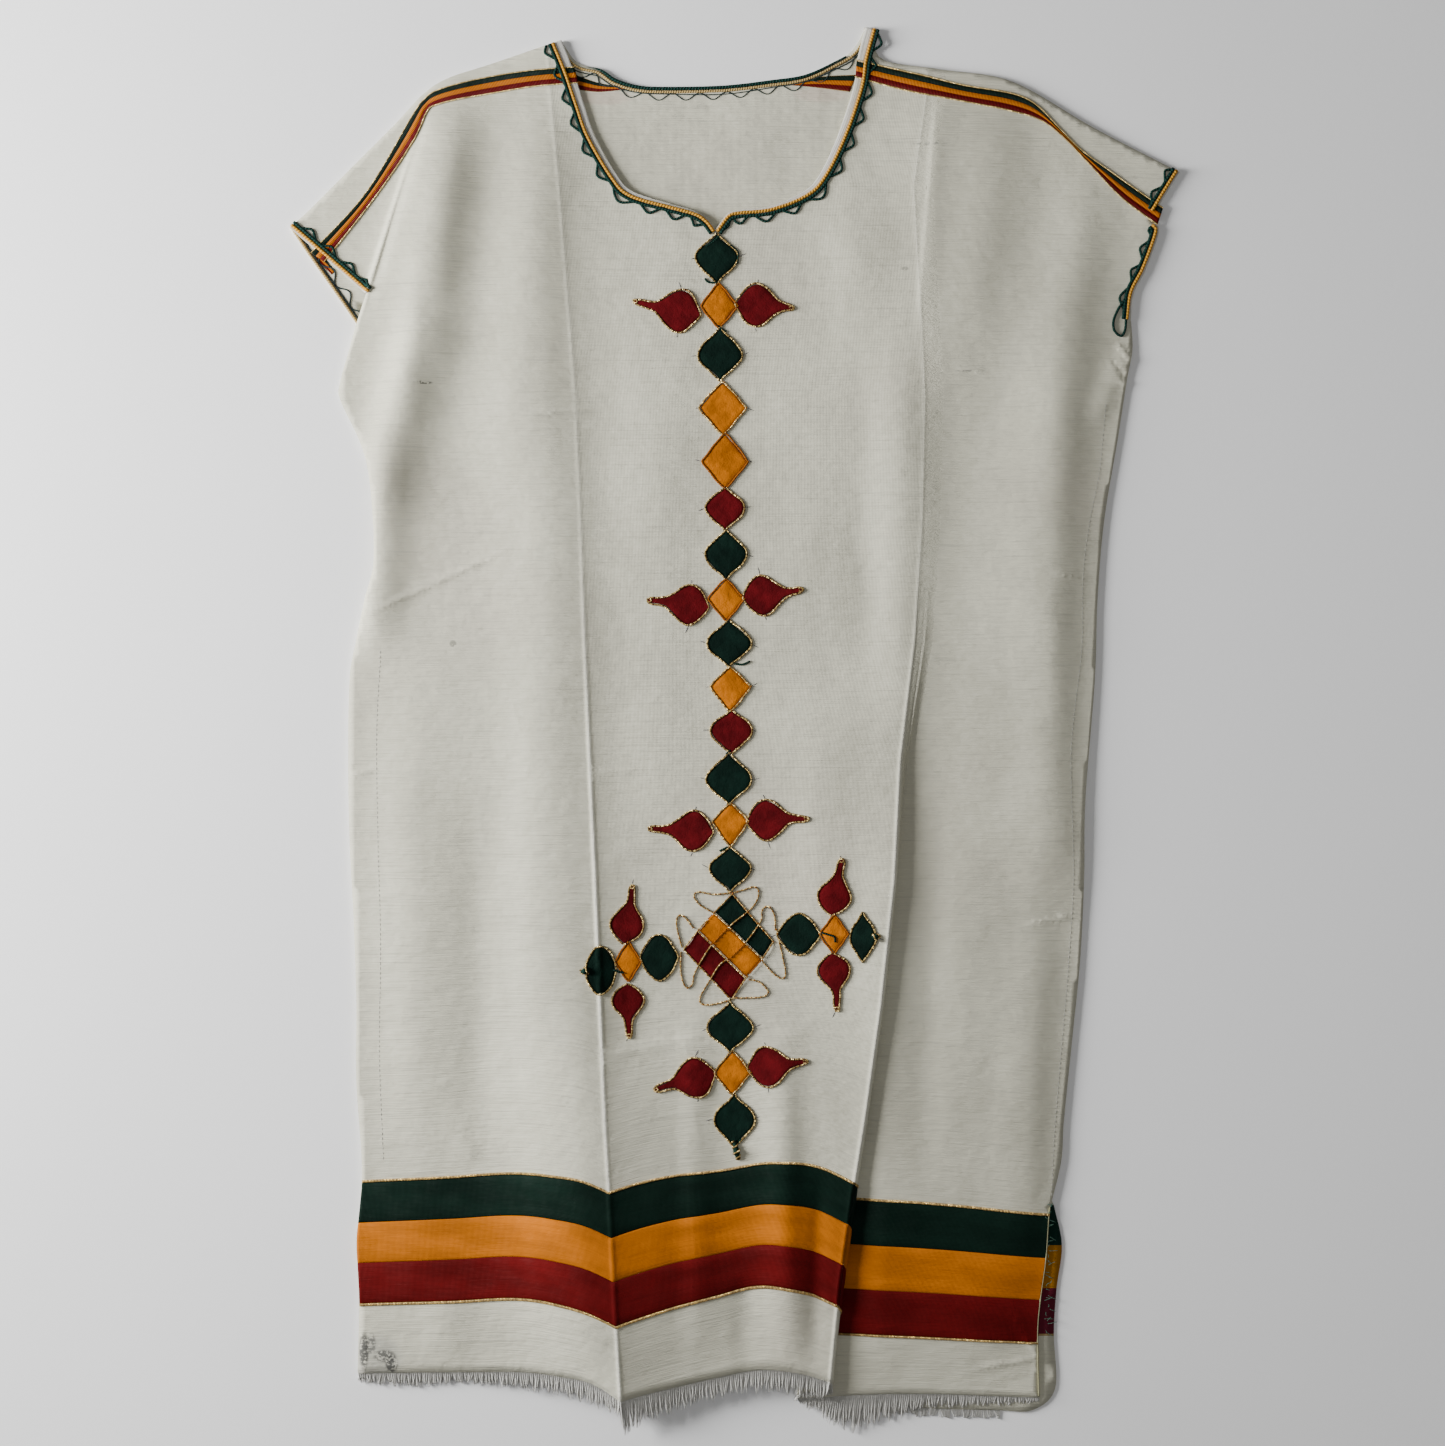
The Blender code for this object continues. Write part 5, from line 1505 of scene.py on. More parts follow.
@dataclass
class EdgeTrims:
    """Turned edges with a yellow cord, a straight green cord and a wavy green one that crosses it."""

    step: float = 1.4
    yellow_radius: float = 1.25
    green_radius: float = 1.2
    wave_radius: float = 0.95
    turned_height: float = 0.55
    cuff_inset: float = 2.2

    def inset(self, share: Array) -> Array:
        """Distance of the yellow cord from the neck's edge at a share of its way down."""
        rows = np.array(NECK_INSET)
        return np.interp(share, rows[:, 0], rows[:, 1])

    def cords(self, line: Array, inset: Array, calm: Array, yellow: Piece, green: Piece) -> None:
        """Add the three cords beside an edge line.

        Args:
            line: The edge, with the cloth on its right.
            inset: Distance of the yellow cord from it, for each point.
            calm: Share of the wave's swing for each point.
            yellow: The piece that gets the yellow cord.
            green: The piece that gets the green cords.
        """
        run = run_of(line)
        turn = 2.0 * math.pi * run / WAVE_PERIOD + 0.4 * np.sin(run / 31.0)
        wave = 0.8 * CORD_PITCH + WAVE_SWING * (np.sin(turn) - 0.05 * np.sin(3.0 * turn))
        straight = inset + CORD_PITCH
        rows = (
            (yellow, inset, self.yellow_radius, 10), (green, straight, self.green_radius, 10),
            (green, straight + wave * calm, self.wave_radius, 8),
        )
        for piece, offset, radius, sides in rows:
            add_cord(piece, SPACE.over(beside(line, offset), HALF + 0.75 * radius), radius, sides)

    def turned(self, piece: Piece, line: Array, inset: Array) -> None:
        """Add the white turned edge between an edge line and its yellow cord."""
        section = strip_profile(self.turned_height, columns=7)
        add_ribbon(piece, lambda s, h: SPACE.over(beside(line, -0.4 + s * inset), h), section, 5.0)

    def neck(self) -> list[Thing]:
        """Build the trim round the front of the neck."""
        yellow, green, white = Piece("neck_yellow_cord"), Piece("neck_green_cord"), Piece("neck_turned_edge")
        for points, down in ((NECK_LEFT[::-1], True), (NECK_RIGHT[::-1], False)):
            line = curve(points, self.step)
            share = run_of(line) / run_of(line)[-1]
            share = share if down else 1.0 - share
            inset = self.inset(share)
            calm = 1.0 - smooth_step(0.93, 0.99, share)
            self.cords(line, inset, calm, yellow, green)
            self.turned(white, line, inset - 0.6)
        return [
            white.make(Cotton("turned_cotton", light=(0.74, 0.72, 0.67)).make(), "cotton", ("neck_trim",)),
            yellow.make(Yarn("yellow_cord", (0.62, 0.30, 0.035)).make(), "trim", ()),
            green.make(Yarn("green_cord", (0.004, 0.032, 0.024)).make(), "trim", ()),
        ]

    def cuffs(self) -> list[Thing]:
        """Build the trims of the two front cuffs and of the back's part that shows at the right."""
        yellow, green, white = Piece("cuff_yellow_cord"), Piece("cuff_green_cord"), Piece("cuff_turned_edge")
        for points in (CUFF_LEFT[::-1], *CUFF_RIGHT_TRIMS):
            line = curve(points, self.step)
            inset = np.full(len(line), self.cuff_inset)
            share = run_of(line) / run_of(line)[-1]
            calm = smooth_step(0.0, 0.12, share) * (1.0 - smooth_step(0.9, 1.0, share))
            self.cords(line, inset, 0.85 * calm, yellow, green)
            self.turned(white, line, inset - 0.6)
        loop = curve(CUFF_LOOP, self.step)
        add_cord(green, SPACE.over(loop, HALF + self.wave_radius), self.wave_radius, 8)
        return [
            white.make(bpy.data.materials["turned_cotton"], "cotton", ("cuff_trim_left", "cuff_trim_right")),
            yellow.make(bpy.data.materials["yellow_cord"], "trim", ()),
            green.make(bpy.data.materials["green_cord"], "trim", ()),
        ]

    def inside(self) -> list[Thing]:
        """Build what shows of the back's own trims: rolled cord, thin wavy thread and the tapes' ends."""
        cord, pale, thin = Piece("back_neck_cord"), Piece("back_neck_edge"), Piece("back_neck_thread")

        def on_back(place: Array, height: float) -> Array:
            flat = np.broadcast_to(BACK_TOP + height - HALF, place.shape[:1])
            return np.column_stack((place, flat))

        line = curve(NECK_BACK, self.step)
        run = run_of(line)
        share = run / run[-1]
        body = (share > 0.11) & (share < 0.9)
        shown = share[body]
        radius = 1.15 * smooth_step(0.1, 0.2, shown) * (1.0 - 0.5 * smooth_step(0.7, 0.9, shown)) + 0.15
        add_cord(cord, on_back(beside(line, 0.6), HALF + 0.9)[body], radius, 8)
        add_cord(pale, on_back(beside(line, 3.0), HALF + 0.6), 1.0, 8)
        swing = 6.6 + 2.6 * np.sin(2.0 * math.pi * run / 20.0)
        for offset in (5.0 + 0.6 * np.sin(run / 17.0), swing):
            add_cord(thin, on_back(beside(line, offset), HALF + 0.35), 0.42)

        line = curve(CUFF_LEFT_BACK[::-1], self.step)
        run = run_of(line)
        add_cord(pale, on_back(beside(line, 1.3), HALF + 0.8), 1.2, 8)
        for offset in (np.full_like(run, 3.4), 6.5 + 3.0 * np.sin(2.0 * math.pi * run / 20.0)):
            add_cord(thin, on_back(beside(line, offset), HALF + 0.4), 0.55)

        tape = Piece("tape_ends_inside")
        section = strip_profile(0.5, ribs=3, base=0.2, columns=10)
        for upper, lower in TAPE_ENDS:
            high, low = evenly(curve(upper, 2.0), 24), evenly(curve(lower, 2.0), 24)
            add_ribbon(tape, lambda s, h: on_back(high * (1.0 - s) + low * s, h), section, 1.0, share_uv=True)
        return [
            cord.make(bpy.data.materials["green_cord"], "trim", ()),
            pale.make(Yarn("pale_cord", (0.52, 0.36, 0.14), ply=0.0018).make(), "trim", ()),
            thin.make(Yarn("thin_thread", (0.035, 0.055, 0.055), ply=0.001).make(), "trim", ()),
            tape.make(bpy.data.materials["tape_cloth"], "tape", ()),
        ]

    def dress(self) -> list[Thing]:
        """Build every trim."""
        return self.neck() + self.cuffs() + self.inside()


@dataclass(frozen=True)
class Patch:
    """One applied patch: its solid, its dye, outline and middle, and a drop's spine and half width."""

    node: str
    dye: Dye
    outline: Array
    centre: tuple[float, float]
    spine: Array | None = None
    half: Array | None = None


@dataclass
class Applique:
    """The cross of felt patches: couched gold round each, tails on drops, gold loops on the diamond."""

    puff: float = 1.2
    thread_radius: float = 0.74
    thread_step: float = 1.3
    stitch_pitch: float = 3.5
    outline_points: int = 64
    lying: tuple[str, ...] = ("cross_left_inner", "cross_left_outer", "cross_right_inner")
    stripe_normal: tuple[float, float] = (0.674, 0.739)
    yellow_stripe: tuple[float, float] = (-126.0, -111.0)
    rings: tuple[float, ...] = (0.1, 0.35, 0.6, 0.76, 0.87, 0.94, 0.98, 1.0)

    @staticmethod
    def diamond(x: float, top: float, side: float, foot: float, width: float, hollow: float) -> Array:
        """Diamond whose half width falls as a power of a cosine from its sides to its tips."""
        share = np.linspace(0.0, 1.0, 12)[:-1]
        half = width / 2 * np.cos(share * math.pi / 2) ** hollow
        if 1.0 <= hollow <= 1.1:
            half = width / 2 * (1.0 - share) ** 0.9
        top, foot = top + TIP_REACH, foot - TIP_REACH
        up, down = side + (top - side) * share, side + (foot - side) * share
        return np.vstack((
            np.column_stack((x + half, up)), (x, top), np.column_stack((x - half, up))[::-1],
            np.column_stack((x - half, down))[1:], (x, foot), np.column_stack((x + half, down))[:0:-1],
        ))

    @staticmethod
    def drop(node: str, x: float, y: float, tail_x: float, tail_y: float, width: float, end_x: float,
             end_y: float) -> Patch:
        """Patch that swells from a near tip and is drawn out into a narrow tail across a bent spine."""
        reach = math.hypot(tail_x - x, tail_y - y)
        ahead = np.array((tail_x - x, tail_y - y)) / reach
        near = np.array((x, y)) - 0.57 * width * ahead
        spine = evenly(curve((tuple(near), (x, y), (tail_x, tail_y), (end_x, end_y)), 1.0), 46)
        run = run_of(spine)
        tail = float(np.linalg.norm(np.array((end_x - tail_x, end_y - tail_y))))
        body = run[-1] - tail
        smooth = curve(DROP_SHAPE, 0.03)
        half = np.interp(run / body, smooth[:, 0], smooth[:, 1]) * width
        thin = np.interp((run - body) / tail, (0.0, 0.4, 0.85, 1.0), (0.1 * width, 1.9, 1.6, 0.6))
        half = np.where(run > body, thin, half)
        sides = np.vstack((beside(spine, half)[::-1], beside(spine, -half)[1:]))
        return Patch(node, Dye.RED, sides, (x, y), spine, half)

    def patches(self) -> list[Patch]:
        """Every patch with its node, dye and outline."""
        found = []
        for number, row in enumerate(COLUMN, 1):
            found.append(Patch(f"patch_{number:02d}", Dye(row[0]), self.diamond(*row[1:]), (row[1], row[3])))
        found += [self.drop(f"patch_{row[0]}", *row[1:]) for row in DROPS]
        for name, colour, x, y, width, height, hollow in CROSS_PARTS:
            if name in self.lying:
                outline = self.diamond(y, x + width / 2, x, x - width / 2, height, hollow)[:, ::-1]
            else:
                outline = self.diamond(x, y + height / 2, y, y - height / 2, width, hollow)
            found.append(Patch(f"patch_{name}", Dye(colour), outline, (x, y)))
        for colour, corners in STRIPES:
            ring = np.array(corners)
            edges = np.vstack([np.linspace(a, b, 14)[:-1] for a, b in zip(ring, np.roll(ring, -1, axis=0))])
            found.append(Patch(f"patch_diamond_{colour}", Dye(colour), edges, tuple(ring.mean(axis=0))))
        return found

    def add_patch(self, piece: Piece, patch: Patch, number: int) -> float:
        """Add one puffed patch: rings from middle to outline, as high as the root of 1 less r to the tenth.

        Args:
            piece: The piece that gets it.
            patch: The patch.
            number: Its place in the list, which varies its cut edge.

        Returns:
            Its flat area in square millimetres.
        """
        if patch.spine is not None:
            spine, half = patch.spine, patch.half
            add_ribbon(piece, lambda s, h: SPACE.over(beside(spine, (1.0 - 2.0 * s) * half), h),
                       strip_profile(self.puff, columns=13), 12.0)
            return abs(ring_area(patch.outline))
        ring = evenly(np.vstack((patch.outline, patch.outline[:1])), self.outline_points + 1)[:-1]
        if ring_area(ring) < 0:
            ring = ring[::-1]
        centre = np.array(patch.centre)
        turn = np.arctan2(ring[:, 1] - centre[1], ring[:, 0] - centre[0])
        uneven = 1.0 + 0.012 * np.sin(5 * turn + number) + 0.008 * np.sin(11 * turn + 2.3 * number)
        spokes = (ring - centre) * uneven[:, None]
        share = np.array(self.rings)[:, None, None]
        place = centre + spokes[None] * share
        high = HALF + self.puff * np.sqrt(1.0 - share[..., 0] ** 10) + 0.02
        points = SPACE.over(place, np.broadcast_to(high, place.shape[:2]))
        faces, corners = grid_faces(len(self.rings), len(ring), closed=True)
        uv = (place.reshape(-1, 2) * MM)[faces]
        base = piece.total
        piece.add(points, faces, uv)
        cap = np.arange(len(ring))
        piece.faces.append((cap + base).tolist())
        piece.faces.append((cap[::-1] + base + (len(self.rings) - 1) * len(ring)).tolist())
        piece.corners.append((place[0] * MM).reshape(-1, 2))
        piece.corners.append((place[-1, ::-1] * MM).reshape(-1, 2))
        return abs(ring_area(ring))

    def couched(self, gold: Piece, stitches: Piece, patch: Patch, number: int) -> None:
        """Lay the gold thread round a patch and sew it down with small stitches across it.

        Args:
            gold: The piece that gets the thread.
            stitches: The piece that gets the stitches.
            patch: The patch.
            number: Its place in the list, which varies how closely the thread follows it.
        """
        closed = np.vstack((patch.outline, patch.outline[:1]))
        if ring_area(patch.outline) < 0:
            closed = closed[::-1]
        count = max(24, int(run_of(closed)[-1] / self.thread_step))
        ring = evenly(closed, count + 1)[:-1]
        tangent = unit(np.roll(ring, -1, axis=0) - np.roll(ring, 1, axis=0))
        out = np.stack((tangent[:, 1], -tangent[:, 0]), axis=-1)
        turn = 2.0 * math.pi * np.arange(count) / count
        slack = 0.5 + 0.55 * np.maximum(0.0, np.sin(turn + 1.7 * number)) ** 2
        slack = slack + 0.18 * np.sin(7 * turn + number)
        line = ring + out * slack[:, None]
        path = SPACE.over(np.vstack((line, line[:2])), HALF + self.thread_radius)
        add_cord(gold, path, self.thread_radius)
        self.stitched(stitches, path)

    def stitched(self, stitches: Piece, path: Array) -> None:
        """Sew a thread down: half rings across it, a stitch pitch apart.

        Args:
            stitches: The piece that gets them.
            path: The thread's centre line.
        """
        count = max(2, int(run_of(path)[-1] / self.stitch_pitch))
        centre = evenly(path, count + 1)[:-1]
        ahead = unit(np.gradient(centre, axis=0))
        side = unit(np.cross(ahead, UP))
        angle = np.radians((-95.0, -50.0, 0.0, 50.0, 95.0))[None, :, None]
        reach = self.thread_radius + 0.06
        arcs = centre[:, None] + reach * (np.sin(angle) * side[:, None] + np.cos(angle) * UP)
        add_tubes(stitches, arcs, ahead[:, None, :], np.array((0.16, 0.26, 0.28, 0.26, 0.16))[None], 5)

    @staticmethod
    def over_diamond(place: Array) -> Array:
        """1 over the large diamond and 0 outside it, by the sum of its two half diagonals' shares."""
        share = np.abs(place[..., 0] + 3.2) / 33.0 + np.abs(place[..., 1] + 160.2) / 38.8
        return 1.0 - smooth_step(0.93, 1.07, share)

    def diamond_threads(self, gold: Piece, stitches: Piece) -> None:
        """Lay the gold threads of the large diamond, up over its felt and down to the cloth."""
        for points in DIAMOND_THREADS:
            line = curve(points, self.thread_step)
            height = HALF + self.thread_radius + (self.puff - 0.1) * self.over_diamond(line)
            path = SPACE.over(line, height)
            across = line @ np.array(self.stripe_normal)
            yellow = (across > self.yellow_stripe[0]) & (across < self.yellow_stripe[1])
            yellow &= self.over_diamond(line) > 0.5
            cuts = np.flatnonzero(np.diff(yellow.astype(int))) + 1
            for run, dyed in zip(np.split(path, cuts), np.split(yellow, cuts)):
                if len(run) > 2:
                    radius = self.thread_radius * (0.5 if dyed[0] else 0.75)
                    add_cord(stitches if dyed[0] else gold, run, radius)
            self.stitched(stitches, path)

    def tails(self, gold: Piece, yarn: Piece) -> None:
        """Wind gold round the cords at the green patches' outer tips and end each tail in a small gold loop.

        Args:
            gold: The piece that gets the gold.
            yarn: The piece that gets the cords.
        """
        for x0, y0, x1, y1 in KNOTS:
            share = np.linspace(-0.3, 1.0, 20)
            line = np.array((x0, y0)) + share[:, None] * np.array((x1 - x0, y1 - y0))
            aside = unit(np.array((-(y1 - y0), x1 - x0)))
            radius = np.interp(share, (-0.3, 0.0, 0.5, 1.0), (1.4, 1.6, 2.5, 1.3))
            add_cord(yarn, SPACE.over(line, HALF + 0.9 * radius), radius, 8)
            turn = 2.4 * math.pi * share * math.hypot(x1 - x0, y1 - y0) / 5.0
            wound = line + aside * (1.3 * radius * np.cos(turn))[:, None]
            height = HALF + 0.9 * radius + 1.2 * radius * np.maximum(np.sin(turn), -0.2)
            add_cord(gold, SPACE.over(wound, height), 0.6)
        ends = [(row[3], row[4], row[6], row[7]) for row in DROPS] + list(KNOTS)
        for number, (x0, y0, x1, y1) in enumerate(ends):
            ahead = unit(np.array((x1 - x0, y1 - y0), dtype=float))
            turn = np.linspace(-2.6, 2.9, 20)
            loop = 1.7 + 0.4 * math.sin(3.1 * number)
            middle = np.array((x1, y1)) - ahead * 0.3
            ring = middle + loop * np.stack((np.cos(turn), 0.8 * np.sin(turn)), axis=-1)
            add_cord(gold, SPACE.over(ring, HALF + 1.0), 0.62)

    @staticmethod
    def loose_yarn(yarn: Piece) -> None:
        """Lay the short ends of green yarn that stick out between the patches."""
        for bit in YARN_ENDS:
            line = curve(bit, 1.0)
            height = HALF + 0.7 + 1.0 * (np.abs(line[:, 0]) > 60)
            add_cord(yarn, SPACE.over(line, height), 0.8)

    def pattern_marks(self, found: list[Patch]) -> Piece:
        """Short pencil ticks where the pattern was marked out beside the patches."""
        rows = []
        for number, patch in enumerate(found):
            if patch.node.startswith("patch_diamond"):
                continue
            level_first = not patch.node.endswith(("left", "right", "up", "down"))
            axis = 0 if level_first else 1
            for sign in (-1.0, 1.0):
                tip = patch.outline[np.argmax(sign * patch.outline[:, axis])]
                length = 3.2 + 1.6 * math.sin(4.1 * number + sign)
                lean = 0.5 * math.sin(2.7 * number + 2.0 * sign)
                away = np.array((sign, lean)) if axis == 0 else np.array((lean, sign))
                share = np.linspace(1.6, 1.6 + length, 5)[:, None]
                rows.append(SPACE.over(tip + away * share, HALF + 0.04))
        piece = Piece("pattern_ticks")
        add_tubes(piece, np.stack(rows), UP, np.array((0.1, 0.26, 0.3, 0.24, 0.1))[None], 5)
        return piece

    def dress(self) -> tuple[list[Thing], dict[Dye, float]]:
        """Build the patches and all that is sewn on them.

        Returns:
            The objects, and the flat area of each dye's patches in square metres.
        """
        found = self.patches()
        gold = Piece("gold_couching")
        felt = {dye: Piece(f"patches_{dye.value}") for dye in Dye}
        stitches = {dye: Piece(f"couching_stitches_{dye.value}") for dye in Dye}
        yarn = Piece("patch_yarn")
        area = {dye: 0.0 for dye in Dye}
        for number, patch in enumerate(found):
            area[patch.dye] += self.add_patch(felt[patch.dye], patch, number) * MM * MM
            if not patch.node.startswith("patch_diamond"):
                thread = stitches[patch.dye] if patch.dye is Dye.YELLOW and number % 3 else gold
                self.couched(thread, stitches[patch.dye], patch, number)
        self.diamond_threads(gold, stitches[Dye.YELLOW])
        self.tails(gold, yarn)
        self.loose_yarn(yarn)
        made = []
        for dye in Dye:
            nodes = tuple(patch.node for patch in found if patch.dye is dye)
            finish = Felt(f"felt_{dye.value}", PATCH_COLOURS[dye])
            made.append(felt[dye].make(finish.make(), f"patch_{dye.value}", nodes))
            thread = Yarn(f"sewing_{dye.value}", shade_of(PATCH_COLOURS[dye], 0.8, 0.01), ply=0.0008)
            made.append(stitches[dye].make(thread.make(), f"patch_{dye.value}", ()))
        finish = Yarn("patch_cord", (0.002, 0.024, 0.016), ply=0.0016)
        made.append(yarn.make(finish.make(), "patch_green", ()))
        made.append(gold.make(GoldThread("gold_thread").make(), "trim", ()))
        ticks = self.pattern_marks(found)
        pencil = Yarn("pencil", (0.11, 0.11, 0.15), gloss=0.8)
        made.append(ticks.make(pencil.make(), "cotton", ()))
        return made, area


@dataclass
class Frays:
    """The frayed hems: warp threads left where the weft has been drawn out."""

    pitch: float = 0.55
    radius: float = 0.4
    points: int = 7
    tuft: float = 9.0

    def strands(self, roots: Array, down: Array, lengths: Array, floor: float, seed: float) -> Array:
        """Centre lines of threads that sway as they hang: root plus a share of length down plus sines aside.

        Args:
            roots: Where the threads leave the cloth.
            down: Unit directions that they hang in.
            lengths: Their lengths.
            floor: The lowest that they may reach.
            seed: Shifts the sways.

        Returns:
            Paths, shaped threads by points by 3.
        """
        number = np.arange(len(roots))
        share = np.linspace(0.0, 1.0, self.points)[None, :, None]
        tuft = np.floor((number + 3.0 * np.sin(number / 23.0)) / self.tuft + seed)
        even = 0.93 + 0.07 * np.sin(number * 12.9898 + seed)
        reach = lengths * (0.93 + 0.11 * np.sin(tuft * 2.7 + seed)) * even
        inward = ((number / self.tuft + seed) % 1.0 - 0.5) * self.tuft * self.pitch
        clump = 1.5 * np.sin(tuft * 1.9 + seed) - 0.45 * inward
        curl = 0.4 * np.sin(number * 5.13 + seed)[:, None, None] * np.sin(4.0 * share + number[:, None, None])
        paths = roots[:, None] + down[:, None] * (reach[:, None, None] * share - 1.0)
        paths[..., 0] += (clump[:, None, None] * share**1.6 + curl * share)[..., 0]
        sag = 1.4 * np.abs(np.sin(number * 3.7 + seed))[:, None] * share[..., 0]
        paths[..., 2] = np.maximum(paths[..., 2] - sag, floor)
        return paths

    def front(self) -> Piece:
        """Threads along the front's hem."""
        station, _ = SPACE.chart(np.array((SIDE_LEFT[-1], SLIT_FRONT[0]), dtype=float))
        fine = np.concatenate((np.linspace(station[0], 2.0, 500), np.linspace(2.0, 3.0, 80)[1:],
                               np.linspace(3.0, station[1], 200)[1:]))
        edge = SPACE.lay(fine, np.full_like(fine, HEM))
        run = run_of(edge)
        wanted = np.arange(0.3, run[-1], self.pitch)
        at = np.interp(wanted, run, fine)
        level = np.full_like(at, HEM)
        roots = SPACE.lay(at, level)
        down = unit(roots - SPACE.lay(at, level + 2.0))
        lengths = np.interp(at, FRAY_FRONT[:, 0], FRAY_FRONT[:, 1])
        piece = Piece("frayed_front")
        taper = np.interp(np.linspace(0.0, 1.0, self.points), (0.0, 0.7, 1.0), (1.0, 0.85, 0.3)) * self.radius
        for seed, shrink in ((0.0, 1.0), (1.5, 0.88)):
            paths = self.strands(roots, down, lengths * shrink, 1.6, seed)
            add_tubes(piece, paths, UP, taper[None], 3)
        return piece

    def back(self) -> Piece:
        """Threads along the back's hem."""
        line = curve(HEM_BACK, 3.0)
        edge = evenly(line, int(run_of(line)[-1] / (1.6 * self.pitch)))
        roots = np.column_stack((edge, np.full(len(edge), HALF)))
        down = np.tile((0.0, -1.0, 0.0), (len(edge), 1))
        piece = Piece("frayed_back")
        paths = self.strands(roots, down, np.full(len(edge), BACK_FRAY), self.radius + 0.1, 0.7)
        add_tubes(piece, paths, UP, self.radius, 3)
        return piece

    def dress(self) -> list[Thing]:
        """Build both frayed hems."""
        # The warp threads are painted much paler than the cotton they are drawn from: painted light that
        # offsets the shade they lie in below the hem
        finish = Yarn("frayed_warp_painted_paler", (0.97, 0.95, 0.88), ply=0.0007, gloss=0.8).make()
        return [
            self.front().make(finish, "fray", ("fringe_front",)),
            self.back().make(finish, "fray", ("fringe_back",)),
        ]


@dataclass
class Sewing:
    """Stitched side seams, the slit's selvedge, and the folded or sewn edges that close the dress."""

    stitch: float = 2.6
    gap: float = 1.0
    thread: float = 0.2
    roll: float = 1.3
    fray_count: int = 34
    fray_top: tuple[float, float] = (233.5, -352.0)
    fray_pitch: float = 2.9
    fray_thread: float = 0.17

    def seams(self) -> Piece:
        """Running stitches along both side seams: each a short bowed thread."""
        rows = []
        for points in (SEAM_LEFT, SEAM_RIGHT):
            line = curve(points, 2.0)
            count = int(run_of(line)[-1] / (self.stitch + self.gap))
            fine = evenly(line, count * 12 + 1)
            starts = np.arange(count) * 12
            picks = fine[starts[:, None] + np.array((0, 2, 5, 8))[None]]
            height = HALF + np.array((-0.15, 0.12, 0.12, -0.15))[None]
            rows.append(SPACE.over(picks, np.broadcast_to(height, picks.shape[:2])))
        piece = Piece("seam_stitches")
        add_tubes(piece, np.vstack(rows), UP, self.thread, 4)
        return piece

    def edges(self) -> Piece:
        """Rolls of cloth along the shoulders and the sides, where front and back join."""
        piece = Piece("edge_rolls")
        middle = (FRONT_MIDDLE + HALF) / 2
        for points in (SHOULDER_LEFT[::-1], SIDE_LEFT[::-1], SHOULDER_RIGHT[::-1], SIDE_RIGHT[::-1]):
            line = beside(curve(points, 4.0), self.roll * 0.55)
            path = np.column_stack((line, np.full(len(line), middle)))
            add_cord(piece, path, self.roll, 8)
        return piece

    def selvedge(self) -> Piece:
        """Pale thread along the front's edge at the slit."""
        line = beside(curve(SLIT_FRONT[::-1], 3.0), 0.4)
        path = SPACE.over(line, HALF + 0.3)
        path = path[path[:, 1] > HEM - 18.0]
        piece = Piece("slit_selvedge")
        add_cord(piece, path, 0.55)
        return piece

    def slit_frays(self) -> Piece:
        """Short green and pale threads that have come loose at the slit."""
        number = np.arange(self.fray_count)
        y = self.fray_top[1] - self.fray_pitch * number + 1.2 * np.sin(number * 2.1)
        x = self.fray_top[0] + 1.6 * np.sin(number * 1.7)
        start = SPACE.over(np.column_stack((x, y)), HALF + 0.3)
        share = np.linspace(0.0, 1.0, 6)[None, :, None]
        rise = np.full(len(number), 0.4)
        reach = np.stack((3.5 + 2.5 * np.sin(number * 3.3), 3.0 * np.sin(number * 1.3), rise), axis=-1)
        paths = start[:, None] + reach[:, None] * share
        paths[..., 0] += 0.8 * np.sin(3.0 * share[..., 0] + number[:, None])
        piece = Piece("slit_frays")
        add_tubes(piece, paths, UP, self.fray_thread, 4)
        return piece

    def dress(self) -> list[Thing]:
        """Build all the sewing."""
        white = Yarn("white_thread", (0.66, 0.65, 0.60), ply=0.0008, gloss=0.75).make()
        pale = Yarn("selvedge_thread", (0.46, 0.44, 0.26), ply=0.001, gloss=0.75).make()
        cotton = Cotton("edge_cotton").make()
        frayed = Yarn("green_fray", (0.12, 0.24, 0.18), ply=0.0008, gloss=0.8).make()
        return [
            self.seams().make(white, "cotton", ()), self.edges().make(cotton, "cotton", ()),
            self.selvedge().make(pale, "cotton", ()), self.slit_frays().make(frayed, "cotton", ()),
        ]


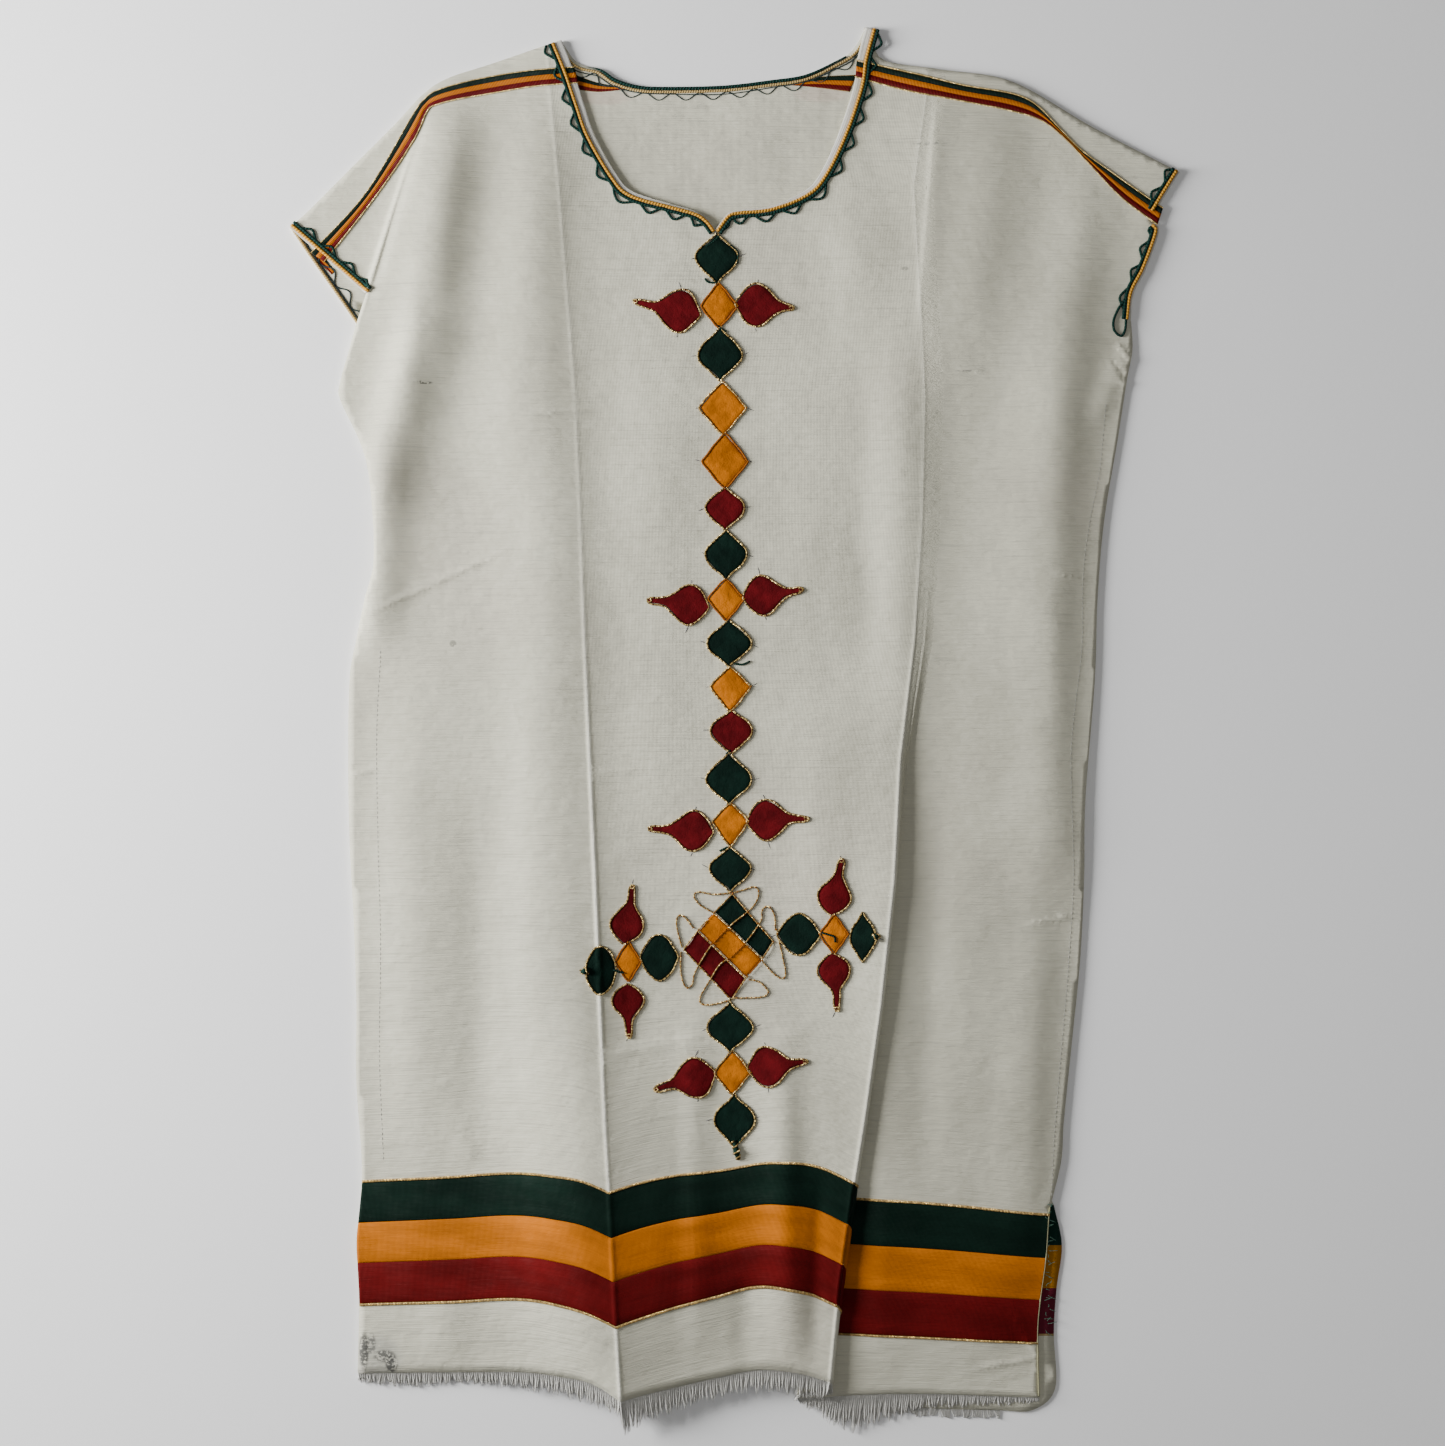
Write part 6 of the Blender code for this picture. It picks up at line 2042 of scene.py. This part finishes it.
@dataclass
class Studio:
    """Plain pale floor, soft light from above and a camera straight over the dress."""

    height: float = 1.7
    view_width: float = 1.078
    sensor: float = 36.0
    middle: tuple[float, float] = (-0.0088, 0.0046)
    floor_half: float = 3.0

    def floor(self) -> None:
        """Lay the floor under the dress."""
        half = self.floor_half
        mesh = bpy.data.meshes.new("floor")
        mesh.from_pydata([(-half, -half, -0.0004), (half, -half, -0.0004), (half, half, -0.0004),
                          (-half, half, -0.0004)], [], [(0, 1, 2, 3)])
        g = Graph("floor_paint")
        tone = g.mix(g.noise(g.object, 3.0), (0.95, 0.95, 0.95), (0.98, 0.98, 0.98))
        mesh.materials.append(g.finish(tone, 0.7, g.bump(g.noise(g.object, 200.0), 0.0002, 0.2)))
        made = bpy.data.objects.new("floor", mesh)
        bpy.context.scene.collection.objects.link(made)

    def light(self, name: str, place: tuple, wide: float, long: float, watts: float) -> None:
        """Hang a soft light that faces the dress, long in the dress's own length."""
        data = bpy.data.lights.new(name, "AREA")
        data.shape = "RECTANGLE"
        data.size = wide
        data.size_y = long
        data.energy = watts
        made = bpy.data.objects.new(name, data)
        made.location = place
        made.rotation_euler = (-Vector((place[0], 0.0, place[2]))).to_track_quat("-Z", "Y").to_euler()
        bpy.context.scene.collection.objects.link(made)

    def build(self) -> None:
        """Set up floor, lights, world and camera."""
        self.floor()
        self.light("key", (-1.7, 0.3, 0.66), 0.6, 1.0, 97.0)
        self.light("fill", (0.3, 0.0, 2.2), 0.8, 0.8, 5.0)
        world = bpy.data.worlds.new("studio")
        world.use_nodes = True
        world.node_tree.nodes["Background"].inputs["Color"].default_value = (1.0, 1.0, 1.0, 1.0)
        world.node_tree.nodes["Background"].inputs["Strength"].default_value = 0.165
        bpy.context.scene.world = world
        data = bpy.data.cameras.new("camera")
        data.sensor_width = self.sensor
        data.lens = self.sensor * self.height / self.view_width
        camera = bpy.data.objects.new("camera", data)
        camera.location = (*self.middle, self.height)
        bpy.context.scene.collection.objects.link(camera)
        bpy.context.scene.camera = camera


def main() -> None:
    """Build the dress piece by piece and report its sheets."""
    logging.basicConfig(level=logging.INFO, format="%(message)s")
    Studio().build()
    back, back_area = BackPanel().dress()
    front, front_area = FrontPanel().dress()
    bands = HemBands().dress()
    tapes = ShoulderTapes().dress()
    trims = EdgeTrims().dress()
    patches, patch_area = Applique().dress()
    frays = Frays().dress()
    sewing = Sewing().dress()
    LOG.info("cloth: front %.4f and back %.4f square metres", front_area, back_area)


if __name__ == "__main__":
    main()
